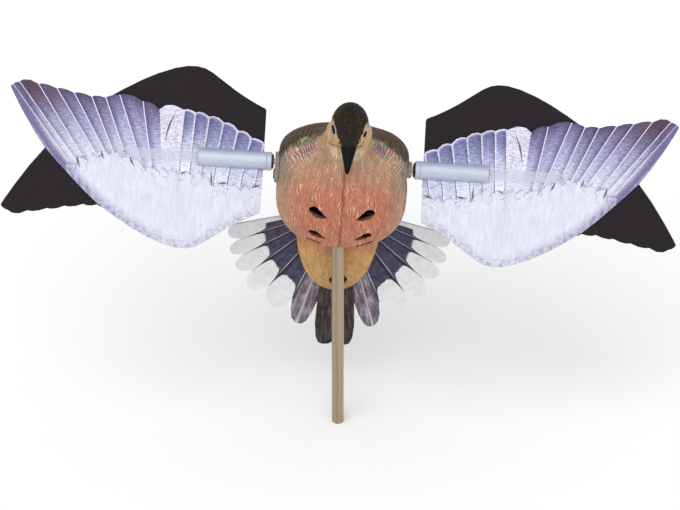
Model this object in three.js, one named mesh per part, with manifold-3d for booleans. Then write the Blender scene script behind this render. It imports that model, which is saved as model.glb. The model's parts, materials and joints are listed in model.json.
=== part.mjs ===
// A spinning-wing dove decoy in landing pose on a plain pole.
// Millimetres, +Z up. The bird faces -Y and its wings lie along X.
// The origin is the foot of the pole, where it meets the ground.

import * as THREE from "three";
import { mergeVertices } from "three/addons/utils/BufferGeometryUtils.js";
import Module from "manifold-3d";

const wasm = await Module();
wasm.setup();

// Where the wing shaft sits, measured from the foot of the pole, and how far the bird
// leans to one side on the upright pole, in degrees
const SHAFT_HEIGHT = 228;
const SHAFT_BEHIND_POLE = 20;
const LEAN = 3.7;

// Pole
const POLE_RADIUS = 4.75;
const POLE_DEPTH_IN_BODY = 34;
const SOCKET_WALL = 2.4;
const FIT = 0.3;

// Moulded bird
const WALL = 2.2;
const OUTER_DETAIL = 0.62;
const INNER_DETAIL = 0.33;
const SEAM_DEPTH = 0.6;
const SEAM_WIDTH = 0.9;
const CHEST = { top: 28.4, bottom: -63.5, width: 49.4, front: 57, back: 34, middle: 3 };
const REAR = { top: -18, level: -50, bottom: -119, width: 33, front: 26, back: 24, middle: 14 };
const NECK = { from: [0, -4, 0], base: 40, end: 13.4, power: 1.55 };
const HEAD = { centre: [1.6, -28, 49.6], side: 13.8, length: 17.2, height: 14, droop: 45 };
const CHEEKS = { side: 16.8, length: 12.5, height: 10, ahead: 3, below: 6 };
const BEAK = { start: 11, end: 35.6, width: 6.9, height: 4.8 };
const EYE = { along: 4.8, up: 5.6, side: 9.8, radius: 3 };

// Openings of the bird
const VENT = { length: 14.2, height: 9.8, slope: 9 };
const VENTS = [{ side: 17.2, height: -10, tilt: 6 }, { side: 16.6, height: -30, tilt: 24 }];
const BELLY_HOLE = { radius: 7.3, side: 2.4, height: -101, tilt: 23 };
const BREAST_SLIT = { length: 10, width: 1, side: 20.5, height: -43.5, slope: 24 };
const SHAFT_HOLE_RADIUS = 4.5;

// Bearings on the flanks: a long oval pad on one side and a round boss on the other
const PAD = { inner: 46, outer: 51.2 };
const LONG_PAD = { width: 17, height: 24.4, drop: 4.6 };
const ROUND_PAD = { width: 12.4, height: 12.4, drop: 0 };
const SWITCH = { width: 6, height: 8, drop: 10.5, outer: 52.2 };

// Tail fan
const FAN = { depth: 22, hub: -49, thickness: 1.2, slot: 1.8, root: -54, rootWidth: 24 };
const FAN_SET = { side: 0.8, turn: 1.2 };
const FEATHER_ANGLES = [4.3, 14.6, 28.6, 41.6, 52.6, 61.8, 71];
const FEATHER_LENGTHS = [133, 117, 110, 106, 101, 97, 92];
// How far out the notch before each feather reaches, as a share of the shorter feather
const FEATHER_NOTCHES = [0.97, 0.78, 0.86, 0.88, 0.9, 0.9, 0.9];

// Wings
const WING_TILT = 42;
const SHAFT_RADIUS = 2;
const RUNNING_FIT = 0.1;
const TUBE = { inner: 53.6, outer: 108.6, radius: 7, wall: 1.2, solid: 5.4 };
const HUB = { inner: 52.2, outer: 58.6 };
const SHEET = { thickness: 0.7, gap: 0.3 };
const SPAR = { start: 96, end: 168, width: 9.6, taper: 7.4, thickness: 1 };
const RIVET = { at: 163.5, head: 1.7, shank: 0.8, headHeight: 0.6 };

// Outline of a printed wing sheet: distance out along the shaft and height above it.
// The root and the rounded leading edge are one smooth line.
const LEADING_EDGE = [
  [61.5, -40.4], [71, -45], [83, -52], [98, -62.6], [107, -68], [116, -69.7], [128, -68],
  [146, -61], [163, -51.5], [183, -38.4], [202, -20.7], [223, 0], [238.3, 21.6], [250, 41],
];
// Trailing edge from the wing tip to the root: the notch before each flight feather, and
// how far the rounded tip of that feather swells out of the line to the next notch
const FEATHER_GAPS = [
  [252, 45, 0.8], [246.5, 48.8, 2.6], [232, 48.2, 1.2], [218, 45.6, 1.2], [205, 43, 1.2],
  [191.5, 40.8, 1.1], [181, 40.6, 0.8], [171, 43.6, 2.2], [153, 39.6, 2],
  [140, 34.2, 3.8], [122, 35.2, 1.2], [113, 33.6, 1.6], [102.5, 31, 2], [91, 27.2, 2],
  [80, 21.6, 2], [69.5, 16.6, 0.8],
];
const ROOT_EDGE = [[61, 14.2], [59.9, 12.6], [60.1, -37.8], [60.4, -39.6]];

const rad = (degrees) => (degrees * Math.PI) / 180;

// A rounded fall from 1 to 0 as u runs from 0 to 1
const dome = (u, p, q) => {
  const reach = Math.min(1, Math.max(0, u));
  return Math.pow(1 - Math.pow(reach, p), 1 / q);
};

// Closed mesh through rings of equal point count, with a point at either end
function loft(first, rings, last) {
  const count = rings[0].length;
  const position = [...first, ...rings.flat(2), ...last];
  const index = [];
  const at = (ring, k) => 1 + ring * count + (k % count);
  const end = 1 + rings.length * count;
  for (let k = 0; k < count; k += 1) {
    index.push(0, at(0, k + 1), at(0, k));
    index.push(end, at(rings.length - 1, k), at(rings.length - 1, k + 1));
  }
  for (let r = 0; r + 1 < rings.length; r += 1) {
    for (let k = 0; k < count; k += 1) {
      index.push(at(r, k), at(r, k + 1), at(r + 1, k + 1));
      index.push(at(r, k), at(r + 1, k + 1), at(r + 1, k));
    }
  }
  const geometry = new THREE.BufferGeometry();
  geometry.setAttribute("position", new THREE.Float32BufferAttribute(position, 3));
  geometry.setIndex(index);
  return geometry;
}

// A manifold solid from a closed geometry
function solid(geometry) {
  const bare = geometry.clone();
  bare.deleteAttribute("normal");
  bare.deleteAttribute("uv");
  const merged = mergeVertices(bare, 1e-4);
  const mesh = new wasm.Mesh({
    numProp: 3,
    vertProperties: new Float32Array(merged.attributes.position.array),
    triVerts: new Uint32Array(merged.index.array),
  });
  return new wasm.Manifold(mesh);
}

// A three.js geometry from a manifold solid
function geometryOf(manifold) {
  const mesh = manifold.getMesh();
  const geometry = new THREE.BufferGeometry();
  const position = new THREE.Float32BufferAttribute(mesh.vertProperties, 3);
  geometry.setAttribute("position", position);
  geometry.setIndex(new THREE.Uint32BufferAttribute(mesh.triVerts, 1));
  return geometry;
}

// Level ring with its own half-width, front depth and back depth
function levelRing(count, z, middle, width, front, back, squareness) {
  const ring = [];
  for (let k = 0; k < count; k += 1) {
    const angle = (2 * Math.PI * k) / count;
    const c = Math.cos(angle);
    const s = Math.sin(angle);
    const x = Math.sign(c) * Math.pow(Math.abs(c), 2 / squareness) * width;
    const y = Math.sign(s) * Math.pow(Math.abs(s), 2 / squareness);
    ring.push([x, middle + y * (s > 0 ? back : front), z]);
  }
  return ring;
}

// Heights from bottom to top, closer together toward both ends
function heights(bottom, top, steps) {
  const list = [];
  for (let i = 1; i < steps; i += 1) {
    const t = (1 - Math.cos((Math.PI * i) / steps)) / 2;
    list.push(bottom + (top - bottom) * t);
  }
  return list;
}

// Deep rounded chest with square shoulders, moved in by the given depth
function chestForm(inset, count, steps) {
  const top = CHEST.top - inset;
  const bottom = CHEST.bottom + inset;
  const rings = heights(bottom, top, steps).map((z) => {
    const upper = dome((z - 5) / (top - 5), 2.5, 2.3);
    const lower = dome((-26 - z) / (-26 - bottom), 2.2, 2);
    const waist = 1.5 * Math.exp(-Math.pow((z + 2) / 11, 2));
    const width = (CHEST.width - inset) * upper * lower - waist * upper;
    const front =
      (CHEST.front - inset) *
      dome((z + 6) / (top + 6), 2, 1.9) *
      dome((-6 - z) / (-6 - bottom), 2.1, 2);
    const back =
      (CHEST.back - inset) *
      dome(z / top, 2.6, 2.2) *
      dome((-20 - z) / (-20 - bottom), 2.4, 2.2);
    return levelRing(count, z, CHEST.middle, width, front, back, 2.3);
  });
  return loft([0, CHEST.middle, bottom], rings, [0, CHEST.middle, top]);
}

// Rump and belly below the chest, ending in a blunt round end
function rearForm(inset, count, steps) {
  const top = REAR.top - inset;
  const bottom = REAR.bottom + inset;
  const rings = heights(bottom, top, steps).map((z) => {
    const fall =
      z > REAR.level
        ? dome((z - REAR.level) / (top - REAR.level), 2.4, 2.2)
        : dome((REAR.level - z) / (REAR.level - bottom), 2.4, 2.2);
    const size = [REAR.width, REAR.front, REAR.back].map((d) => (d - inset) * fall);
    return levelRing(count, z, REAR.middle, ...size, 2.15);
  });
  return loft([0, REAR.middle, bottom], rings, [0, REAR.middle, top]);
}

// Neck that narrows from inside the chest to the head
function neckForm(inset, count, steps) {
  const start = new THREE.Vector3(...NECK.from);
  const end = new THREE.Vector3(...HEAD.centre);
  const along = end.clone().sub(start).normalize();
  const forward = new THREE.Vector3(1, 0, 0).cross(along).normalize();
  const side = new THREE.Vector3().crossVectors(forward, along);
  const rings = [];
  for (let i = 0; i <= steps; i += 1) {
    const t = i / steps;
    const centre = start.clone().lerp(end, t);
    const radius = NECK.end + (NECK.base - NECK.end) * Math.pow(1 - t, NECK.power) - inset;
    const ring = [];
    for (let k = 0; k < count; k += 1) {
      const angle = (2 * Math.PI * k) / count;
      const point = centre
        .clone()
        .addScaledVector(side, Math.cos(angle) * radius)
        .addScaledVector(forward, Math.sin(angle) * radius * 0.96);
      ring.push(point.toArray());
    }
    rings.push(ring);
  }
  return loft(start.toArray(), rings, end.toArray());
}

// Placement of the head: its own Y points along the beak and its own Z to the crown
function headPose() {
  const pose = new THREE.Matrix4().makeTranslation(...HEAD.centre);
  pose.multiply(new THREE.Matrix4().makeRotationX(rad(HEAD.droop)));
  return pose;
}

// Rounded head, a little longer than wide, flatter over the crown toward the beak
function headForm(inset, around, along) {
  const geometry = new THREE.SphereGeometry(1, around, along);
  geometry.scale(HEAD.side - inset, HEAD.length - inset, HEAD.height - inset);
  return geometry.applyMatrix4(headPose());
}

// Full cheeks under the eyes, wider than the crown
function cheekForm(inset, around, along) {
  const geometry = new THREE.SphereGeometry(1, around, along);
  geometry.scale(CHEEKS.side - inset, CHEEKS.length - inset, CHEEKS.height - inset);
  geometry.translate(0, -CHEEKS.ahead, -CHEEKS.below);
  return geometry.applyMatrix4(headPose());
}

// Short pointed beak, wide at the root and slightly hooked at the tip
function beakForm() {
  const rings = [];
  const steps = 9;
  for (let i = 0; i <= steps; i += 1) {
    const t = (i / steps) * 0.97;
    const reach = BEAK.start + (BEAK.end - BEAK.start) * t;
    const taper = 1 - 0.83 * t;
    const ring = [];
    for (let k = 0; k < 16; k += 1) {
      const angle = (2 * Math.PI * k) / 16;
      const x = Math.cos(angle) * BEAK.width * taper;
      const z = Math.sin(angle) * BEAK.height * taper - 1.6 * t * t - 1.5;
      ring.push([x, -reach, z]);
    }
    rings.push(ring);
  }
  const first = [0, -BEAK.start, -1.5];
  const last = [0, -BEAK.end, -3.4];
  const geometry = loft(first, rings, last);
  return geometry.applyMatrix4(headPose());
}

function eyeForm(side) {
  const geometry = new THREE.SphereGeometry(EYE.radius, 14, 10);
  geometry.translate(side * EYE.side, -EYE.along, EYE.up);
  return geometry.applyMatrix4(headPose());
}

// The whole outer form of the bird, or the same form moved in by a depth
function birdForm(inset, detail) {
  const count = (n) => Math.round((n * detail) / 2) * 2;
  return solid(chestForm(inset, count(48), count(30)))
    .add(solid(rearForm(inset, count(36), count(18))))
    .add(solid(neckForm(inset, count(32), count(10))))
    .add(solid(headForm(inset, count(28), count(18))))
    .add(solid(cheekForm(inset, count(28), count(14))));
}

// A long cutter along -Y with a rounded outer end and a pointed inner end
function ventCutter(side, vent) {
  const half = VENT.length / 2;
  const shape = new THREE.Shape();
  const round = VENT.height / 2;
  shape.moveTo(half, -round * 0.35);
  shape.quadraticCurveTo(0, round * 0.95, -half + round, round);
  shape.absarc(-half + round, 0, round, Math.PI / 2, 1.5 * Math.PI, false);
  shape.quadraticCurveTo(0, -round * 1.05, half, -round * 0.35);
  const geometry = new THREE.ExtrudeGeometry(shape, {
    depth: 26,
    bevelEnabled: false,
    curveSegments: 6,
  });
  geometry.rotateZ(rad(-VENT.slope));
  if (side > 0) geometry.rotateY(Math.PI).translate(0, 0, 26);
  geometry.translate(0, 0, -6);
  geometry.rotateX(rad(90 + vent.tilt));
  geometry.translate(side * vent.side, -36, vent.height);
  return solid(geometry);
}

function bodyShell() {
  const outer = birdForm(0, OUTER_DETAIL);
  let shell = outer.add(solid(beakForm())).add(solid(eyeForm(1))).add(solid(eyeForm(-1)));
  shell = shell.subtract(birdForm(WALL, INNER_DETAIL));

  // The mould line down the middle of the breast
  const slab = solid(new THREE.BoxGeometry(SEAM_WIDTH, 70, 80).translate(0, -40, -26));
  shell = shell.subtract(slab.subtract(birdForm(SEAM_DEPTH, OUTER_DETAIL)));

  // Socket for the pole
  const socketHeight = POLE_DEPTH_IN_BODY + 3.5 + 6;
  const poleY = -SHAFT_BEHIND_POLE;
  const outerRadius = POLE_RADIUS + FIT + SOCKET_WALL;
  const socket = new THREE.CylinderGeometry(outerRadius, outerRadius, socketHeight, 20);
  socket.rotateX(Math.PI / 2).translate(0, 0, socketHeight / 2 - 6);
  socket.rotateY(rad(-LEAN)).translate(0, poleY, CHEST.bottom);
  shell = shell.add(solid(socket).intersect(birdForm(WALL / 2, INNER_DETAIL)));
  const bore = new THREE.CylinderGeometry(POLE_RADIUS + FIT, POLE_RADIUS + FIT, 60, 24);
  bore.rotateX(Math.PI / 2).translate(0, 0, POLE_DEPTH_IN_BODY + 1 - 30);
  bore.rotateY(rad(-LEAN)).translate(0, poleY, CHEST.bottom);
  shell = shell.subtract(solid(bore));

  // Four vents in the breast
  for (const side of [-1, 1]) {
    for (const vent of VENTS) shell = shell.subtract(ventCutter(side, vent));
    const slit = new THREE.BoxGeometry(BREAST_SLIT.length, 16, BREAST_SLIT.width);
    slit.rotateX(rad(BREAST_SLIT.slope)).rotateY(side * rad(-BREAST_SLIT.slope));
    slit.translate(side * BREAST_SLIT.side, -38, BREAST_SLIT.height);
    shell = shell.subtract(solid(slit));
  }

  // Round hole low on the belly
  const hole = new THREE.CylinderGeometry(BELLY_HOLE.radius, BELLY_HOLE.radius, 16, 24);
  hole.rotateX(rad(BELLY_HOLE.tilt)).translate(BELLY_HOLE.side, -6, BELLY_HOLE.height);
  shell = shell.subtract(solid(hole));

  // Shaft holes and the slot for the tail sheet
  const through = new THREE.CylinderGeometry(SHAFT_HOLE_RADIUS, SHAFT_HOLE_RADIUS, 110, 24);
  shell = shell.subtract(solid(through.rotateZ(Math.PI / 2)));
  const slotHeight = 70;
  const slotTop = FAN.root + 3;
  const slot = new THREE.BoxGeometry(110, FAN.slot, slotHeight);
  slot.translate(0, FAN.depth, slotTop - slotHeight / 2);
  return shell.subtract(solid(slot));
}

// Plate on the flank with the bearing hole, its back shaped to the body
function sidePad(side, size) {
  const shape = new THREE.Shape();
  const straight = (size.height - size.width) / 2;
  const round = size.width / 2;
  shape.moveTo(round, -straight);
  shape.lineTo(round, straight);
  shape.absarc(0, straight, round, 0, Math.PI, false);
  shape.lineTo(-round, -straight);
  shape.absarc(0, -straight, round, Math.PI, 2 * Math.PI, false);
  const plate = new THREE.ExtrudeGeometry(shape, {
    depth: PAD.outer - PAD.inner - 1.6,
    bevelEnabled: true,
    bevelThickness: 0.8,
    bevelSize: 0.8,
    bevelOffset: -0.8,
    bevelSegments: 2,
    curveSegments: 6,
  });
  plate.rotateX(Math.PI / 2).rotateZ(Math.PI / 2);
  plate.translate(PAD.inner + 0.8, 0, -size.drop);
  if (side < 0) plate.rotateZ(Math.PI);
  const boreRadius = SHAFT_RADIUS + RUNNING_FIT;
  const bore = new THREE.CylinderGeometry(boreRadius, boreRadius, 120, 32);
  let pad = solid(plate).subtract(solid(bore.rotateZ(Math.PI / 2)));
  pad = pad.subtract(birdForm(-FIT, OUTER_DETAIL));
  if (side < 0) {
    const pocket = new THREE.BoxGeometry(6, SWITCH.width + 2 * FIT, SWITCH.height + 2 * FIT);
    pocket.translate(-PAD.outer, 0, -SWITCH.drop);
    pad = pad.subtract(solid(pocket));
  }
  return pad;
}

// Small black oblong button in the pad on one side
function padButton() {
  const shape = new THREE.Shape();
  const round = SWITCH.width / 2;
  const straight = SWITCH.height / 2 - round;
  shape.moveTo(round, -straight);
  shape.lineTo(round, straight);
  shape.absarc(0, straight, round, 0, Math.PI, false);
  shape.lineTo(-round, -straight);
  shape.absarc(0, -straight, round, Math.PI, 2 * Math.PI, false);
  const button = new THREE.ExtrudeGeometry(shape, {
    depth: 2.2,
    bevelEnabled: true,
    bevelThickness: 0.4,
    bevelSize: 0.4,
    bevelOffset: -0.4,
    bevelSegments: 1,
    curveSegments: 6,
  });
  button.rotateX(Math.PI / 2).rotateZ(-Math.PI / 2);
  return button.translate(-SWITCH.outer + 2.6, 0, -SWITCH.drop);
}

// Outline of one half of the tail fan, from the middle notch out to the last feather
function fanHalf() {
  const points = [];
  const last = FEATHER_ANGLES.length - 1;
  FEATHER_ANGLES.forEach((angle, i) => {
    const length = FEATHER_LENGTHS[i];
    const inner = i > 0 ? (angle - FEATHER_ANGLES[i - 1]) / 2 : angle;
    const outer = i < last ? (FEATHER_ANGLES[i + 1] - angle) / 2 : 5.2;
    const shorter = (j) => Math.min(length, FEATHER_LENGTHS[Math.min(last, Math.max(0, j))]);
    const innerNotch = shorter(i - 1) * FEATHER_NOTCHES[i];
    const outerNotch = shorter(i + 1) * FEATHER_NOTCHES[Math.min(last, i + 1)];
    for (let k = i > 0 ? -3 : -4; k <= 4; k += 1) {
      const share = Math.pow(Math.abs(k) / 4, 2.6);
      const turn = rad(angle + (k / 4) * (k < 0 ? inner : outer));
      const reach = length * (1 - share) + (k < 0 ? innerNotch : outerNotch) * share;
      points.push([Math.sin(turn) * reach, FAN.hub - Math.cos(turn) * reach]);
    }
  });
  points.push([FAN.rootWidth, FAN.root]);
  return points;
}

// Flat sheet of fourteen tail feathers that fan out from a hub inside the body
function tailFan() {
  const half = fanHalf();
  const mirrored = half.slice(1).reverse().map(([x, z]) => [-x, z]);
  const outline = [...mirrored, ...half].map(([x, z]) => new THREE.Vector2(x, z));
  const fan = new THREE.ExtrudeGeometry(new THREE.Shape(outline), {
    depth: FAN.thickness,
    bevelEnabled: false,
  });
  fan.rotateX(Math.PI / 2).translate(0, FAN.depth + FAN.thickness / 2, -FAN.hub);
  return fan.rotateY(rad(-FAN_SET.turn)).translate(FAN_SET.side, 0, FAN.hub);
}

// Outline of one wing sheet, for a wing that points along +X
function sheetOutline() {
  const edge = new THREE.SplineCurve(LEADING_EDGE.map(([u, v]) => new THREE.Vector2(u, v)));
  const outline = edge.getPoints(19).map((p) => [p.x, p.y]);
  FEATHER_GAPS.forEach(([u, v, swell], i) => {
    const [nextU, nextV] = FEATHER_GAPS[i + 1] ?? ROOT_EDGE[0];
    const length = Math.hypot(nextU - u, nextV - v);
    outline.push([u, v]);
    for (const t of [0.25, 0.6]) {
      const rise = (swell * 4 * t * (1 - t) * (1.25 - 0.5 * t)) / length;
      outline.push([u + (nextU - u) * t + (nextV - v) * rise, v + (nextV - v) * t - (nextU - u) * rise]);
    }
  });
  outline.push(...ROOT_EDGE);
  return outline;
}

// Wing sheet: layer +1 lies in front and layer -1 is the same sheet turned over behind it
function wingSheet(side, layer) {
  const outline = sheetOutline();
  const shape = new THREE.Shape(outline.map(([u, v]) => new THREE.Vector2(u * side, v)));
  const hole = new THREE.Path();
  hole.absarc(RIVET.at * side, 0, RIVET.shank + FIT, 0, 2 * Math.PI, side > 0);
  shape.holes.push(hole);
  const sheet = new THREE.ExtrudeGeometry(shape, {
    depth: SHEET.thickness,
    bevelEnabled: false,
    curveSegments: 6,
  });
  sheet.rotateX(Math.PI / 2).translate(0, -SHEET.gap / 2, 0);
  if (layer < 0) sheet.rotateX(Math.PI);
  return sheet;
}

// Tube slit along both edges, so that the sheets pass through it
function wingTube(side) {
  const bore = TUBE.radius - TUBE.wall;
  const profile = [
    new THREE.Vector2(bore, TUBE.inner),
    new THREE.Vector2(TUBE.radius - 0.4, TUBE.inner),
    new THREE.Vector2(TUBE.radius, TUBE.inner + 0.4),
    new THREE.Vector2(TUBE.radius, TUBE.outer - 0.4),
    new THREE.Vector2(TUBE.radius - 0.4, TUBE.outer),
    new THREE.Vector2(bore, TUBE.outer),
    new THREE.Vector2(bore, TUBE.inner),
  ];
  const tube = new THREE.LatheGeometry(profile, 24).rotateZ(-Math.PI / 2);
  const slitLength = TUBE.outer - TUBE.inner - TUBE.solid + 4;
  const slitWidth = 2 * SHEET.thickness + SHEET.gap + 2 * FIT;
  const slit = new THREE.BoxGeometry(slitLength, slitWidth, 3 * TUBE.radius);
  slit.translate(TUBE.inner + TUBE.solid + slitLength / 2, 0, 0);
  const cut = solid(tube).subtract(solid(slit));
  return side > 0 ? cut : cut.rotate([0, 180, 0]);
}

// Black plug that joins the tube to the shaft
function wingHub(side) {
  const radius = TUBE.radius - TUBE.wall - FIT;
  const bore = SHAFT_RADIUS + FIT;
  const profile = [
    new THREE.Vector2(bore, HUB.inner),
    new THREE.Vector2(5, HUB.inner),
    new THREE.Vector2(radius, HUB.inner + 0.5),
    new THREE.Vector2(radius, HUB.outer),
    new THREE.Vector2(bore, HUB.outer),
    new THREE.Vector2(bore, HUB.inner),
  ];
  const hub = new THREE.LatheGeometry(profile, 16).rotateZ(-Math.PI / 2);
  return side > 0 ? hub : hub.rotateY(Math.PI);
}

// Clear strip on the face of the front sheet
function sparStrip(side) {
  const shape = new THREE.Shape();
  const end = SPAR.taper / 2;
  shape.moveTo(SPAR.start * side, -SPAR.width / 2);
  shape.lineTo((SPAR.end - end) * side, -end);
  for (let k = 1; k < 8; k += 1) {
    const angle = -Math.PI / 2 + (Math.PI * k) / 8;
    shape.lineTo((SPAR.end - end + Math.cos(angle) * end) * side, Math.sin(angle) * end);
  }
  shape.lineTo((SPAR.end - end) * side, end);
  shape.lineTo(SPAR.start * side, SPAR.width / 2);
  shape.closePath();
  const hole = new THREE.Path();
  hole.absarc(RIVET.at * side, 0, RIVET.shank + FIT, 0, 2 * Math.PI, side > 0);
  shape.holes.push(hole);
  const strip = new THREE.ExtrudeGeometry(shape, {
    depth: SPAR.thickness,
    bevelEnabled: false,
    curveSegments: 6,
  });
  const face = SHEET.gap / 2 + SHEET.thickness + FIT;
  return strip.rotateX(Math.PI / 2).translate(0, -face, 0);
}

// Eyelet through the strip and both sheets
function rivet(side) {
  const back = SHEET.gap / 2 + SHEET.thickness + FIT;
  const front = back + SPAR.thickness + FIT;
  const profile = [
    new THREE.Vector2(0, -front - 0.25),
    new THREE.Vector2(RIVET.head * 0.45, -front - 0.25),
    new THREE.Vector2(RIVET.head * 0.6, -front - RIVET.headHeight),
    new THREE.Vector2(RIVET.head, -front - 0.3),
    new THREE.Vector2(RIVET.head, -front),
    new THREE.Vector2(RIVET.shank, -front),
    new THREE.Vector2(RIVET.shank, back),
    new THREE.Vector2(RIVET.head, back),
    new THREE.Vector2(RIVET.head * 0.8, back + RIVET.headHeight),
    new THREE.Vector2(0, back + RIVET.headHeight),
  ];
  const geometry = new THREE.LatheGeometry(profile, 8);
  return geometry.translate(RIVET.at * side, 0, 0);
}

const decoy = new THREE.Group();
const bird = new THREE.Group();
bird.position.set(-CHEST.bottom * Math.sin(rad(LEAN)), SHAFT_BEHIND_POLE, SHAFT_HEIGHT);
bird.rotation.y = rad(LEAN);
decoy.add(bird);
const wings = new THREE.Group();
wings.rotation.x = rad(-WING_TILT);
bird.add(wings);

function place(parent, name, form, color, roughness, metalness) {
  const geometry = form.getMesh ? geometryOf(form) : form;
  const material = new THREE.MeshStandardMaterial({ color, roughness, metalness });
  const mesh = new THREE.Mesh(geometry, material);
  mesh.name = name;
  parent.add(mesh);
}

place(bird, "body_shell", bodyShell(), 0xb9785c, 0.6, 0);
place(bird, "side_pad_left", sidePad(-1, LONG_PAD), 0x94887a, 0.6, 0);
place(bird, "side_pad_right", sidePad(1, ROUND_PAD), 0x94887a, 0.6, 0);
place(bird, "pad_button", padButton(), 0x141414, 0.5, 0);
place(bird, "tail_fan", tailFan(), 0x4a4455, 0.5, 0);

const poleTop = SHAFT_HEIGHT + CHEST.bottom * Math.cos(rad(LEAN)) + POLE_DEPTH_IN_BODY;
const pole = new THREE.CylinderGeometry(POLE_RADIUS, POLE_RADIUS, poleTop, 32);
pole.rotateX(Math.PI / 2).translate(0, 0, poleTop / 2);
place(decoy, "pole", pole, 0xb7a88c, 0.5, 0);

const shaftLength = 2 * (HUB.outer - 0.6);
const shaft = new THREE.CylinderGeometry(SHAFT_RADIUS, SHAFT_RADIUS, shaftLength, 24);
place(wings, "wing_shaft", shaft.rotateZ(Math.PI / 2), 0xb0b2b6, 0.35, 1);

for (const [label, side] of [["left", -1], ["right", 1]]) {
  place(wings, `wing_tube_${label}`, wingTube(side), 0xcdd2e2, 0.35, 1);
  place(wings, `wing_hub_${label}`, wingHub(side), 0x141416, 0.5, 0);
  place(wings, `wing_sheet_front_${label}`, wingSheet(side, 1), 0xcfcfe4, 0.5, 0);
  place(wings, `wing_sheet_back_${label}`, wingSheet(side, -1), 0x1d191d, 0.6, 0);
  place(wings, `spar_strip_${label}`, sparStrip(side), 0xe8ecf2, 0.15, 0);
  place(wings, `spar_rivet_${label}`, rivet(side), 0xc8cad0, 0.35, 1);
}

export default decoy;
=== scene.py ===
"""A spinning-wing dove decoy on a plain pole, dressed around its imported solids.

Sizes are in millimetres in the bird's own frame until a mesh is placed: X across the
wings, -Y toward the breast, +Z up, with the origin at the middle of the wing shaft.
"""

import json
import math
from functools import partial

import bmesh
import bpy
import numpy as np
from mathutils import Matrix, Vector


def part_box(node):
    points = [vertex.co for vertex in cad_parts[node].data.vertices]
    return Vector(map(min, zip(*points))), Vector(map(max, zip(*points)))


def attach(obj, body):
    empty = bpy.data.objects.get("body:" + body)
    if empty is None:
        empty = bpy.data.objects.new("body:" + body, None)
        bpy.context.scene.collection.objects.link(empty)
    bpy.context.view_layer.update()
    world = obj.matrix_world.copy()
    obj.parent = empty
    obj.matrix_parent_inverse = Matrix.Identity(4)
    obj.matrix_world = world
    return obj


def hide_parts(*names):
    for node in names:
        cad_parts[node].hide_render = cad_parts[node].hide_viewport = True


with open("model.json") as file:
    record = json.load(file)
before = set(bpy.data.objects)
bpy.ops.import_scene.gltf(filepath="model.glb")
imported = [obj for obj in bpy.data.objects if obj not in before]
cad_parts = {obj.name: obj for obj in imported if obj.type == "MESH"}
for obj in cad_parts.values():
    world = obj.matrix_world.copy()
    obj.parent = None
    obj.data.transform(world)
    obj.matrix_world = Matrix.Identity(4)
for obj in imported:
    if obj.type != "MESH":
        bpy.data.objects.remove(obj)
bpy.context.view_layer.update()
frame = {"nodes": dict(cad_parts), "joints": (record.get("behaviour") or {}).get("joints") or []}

# The bird leans to one side on its upright pole and turns about nothing else. The wing
# shaft is a straight steel pin through its chest, so its joint gives the bird's frame.
MM = 0.001
to_metres = Matrix.Scale(MM, 4)
shaft_joint = frame["joints"][0]
shaft_axis = Vector(shaft_joint["axis"])
LEAN = math.degrees(math.atan2(-shaft_axis.z, shaft_axis.x))


def turned(degrees, axis):
    return Matrix.Rotation(math.radians(degrees), 4, axis)


def moved(x, y, z):
    return Matrix.Translation((x, y, z))


bird_place = moved(*shaft_joint["pos_m"]) @ turned(LEAN, "Y") @ to_metres


# The body is one hollow moulding of stiff foamed plastic, cast in two halves whose seam
# shows down the breast. It has shallow feather relief all over and is sprayed with soft
# zones of matt paint: brown crown and back, buff throat, salmon breast, ochre rump.
WALL = 2.2
CHEST = {"top": 28.4, "bottom": -63.5, "width": 49.4, "front": 57, "back": 34, "middle": 3, "square": 2.3}
REAR = {
    "top": -18, "level": -50, "bottom": -119, "width": 33, "front": 26, "back": 24, "middle": 14,
    "square": 2.15,
}
NECK = {"from": (0, -4, 0), "base": 40, "end": 13.4, "power": 1.55, "flat": 0.96}
HEAD = {"centre": (1.6, -28, 49.6), "side": 13.8, "length": 17.2, "height": 14, "droop": 45}
CHEEKS = {"side": 16.8, "length": 12.5, "height": 10, "ahead": 3, "below": 6}
SKIN_VOXEL = 0.85

head_pose = moved(*HEAD["centre"]) @ turned(HEAD["droop"], "X")


def carried(points, place):
    """Points moved by a 4x4 matrix."""
    turn = np.array(place)
    return points @ turn[:3, :3].T + turn[:3, 3]


def dome(share, p, q):
    """A rounded fall from 1 to 0 as the share runs from 0 to 1."""
    return (1 - np.clip(share, 0, 1) ** p) ** (1 / q)


def level_rings(ball, sizes, inset, size_at):
    """Moves a unit ball's points onto level rings, each with its own width, front and back."""
    bottom, top, power = sizes["bottom"] + inset, sizes["top"] - inset, 2 / sizes["square"]
    height = (bottom + top) / 2 + (top - bottom) / 2 * ball[:, 2]
    reach = np.maximum(np.hypot(ball[:, 0], ball[:, 1]), 1e-9)
    across, deep = ball[:, 0] / reach, ball[:, 1] / reach
    width, front, back = size_at(height, inset)
    x = np.sign(across) * np.abs(across) ** power * width
    y = np.sign(deep) * np.abs(deep) ** power
    return np.stack([x, sizes["middle"] + y * np.where(deep > 0, back, front), height], 1)


def chest_size(z, inset=0):
    """Half width of the chest at a height, and its reach forward and back."""
    top, bottom = CHEST["top"] - inset, CHEST["bottom"] + inset
    upper = dome((z - 5) / (top - 5), 2.5, 2.3)
    lower = dome((-26 - z) / (-26 - bottom), 2.2, 2)
    waist = 1.5 * np.exp(-(((z + 2) / 11) ** 2))
    width = (CHEST["width"] - inset) * upper * lower - waist * upper
    front = dome((z + 6) / (top + 6), 2, 1.9) * dome((-6 - z) / (-6 - bottom), 2.1, 2)
    back = dome(z / top, 2.6, 2.2) * dome((-20 - z) / (-20 - bottom), 2.4, 2.2)
    return width, (CHEST["front"] - inset) * front, (CHEST["back"] - inset) * back


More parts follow.
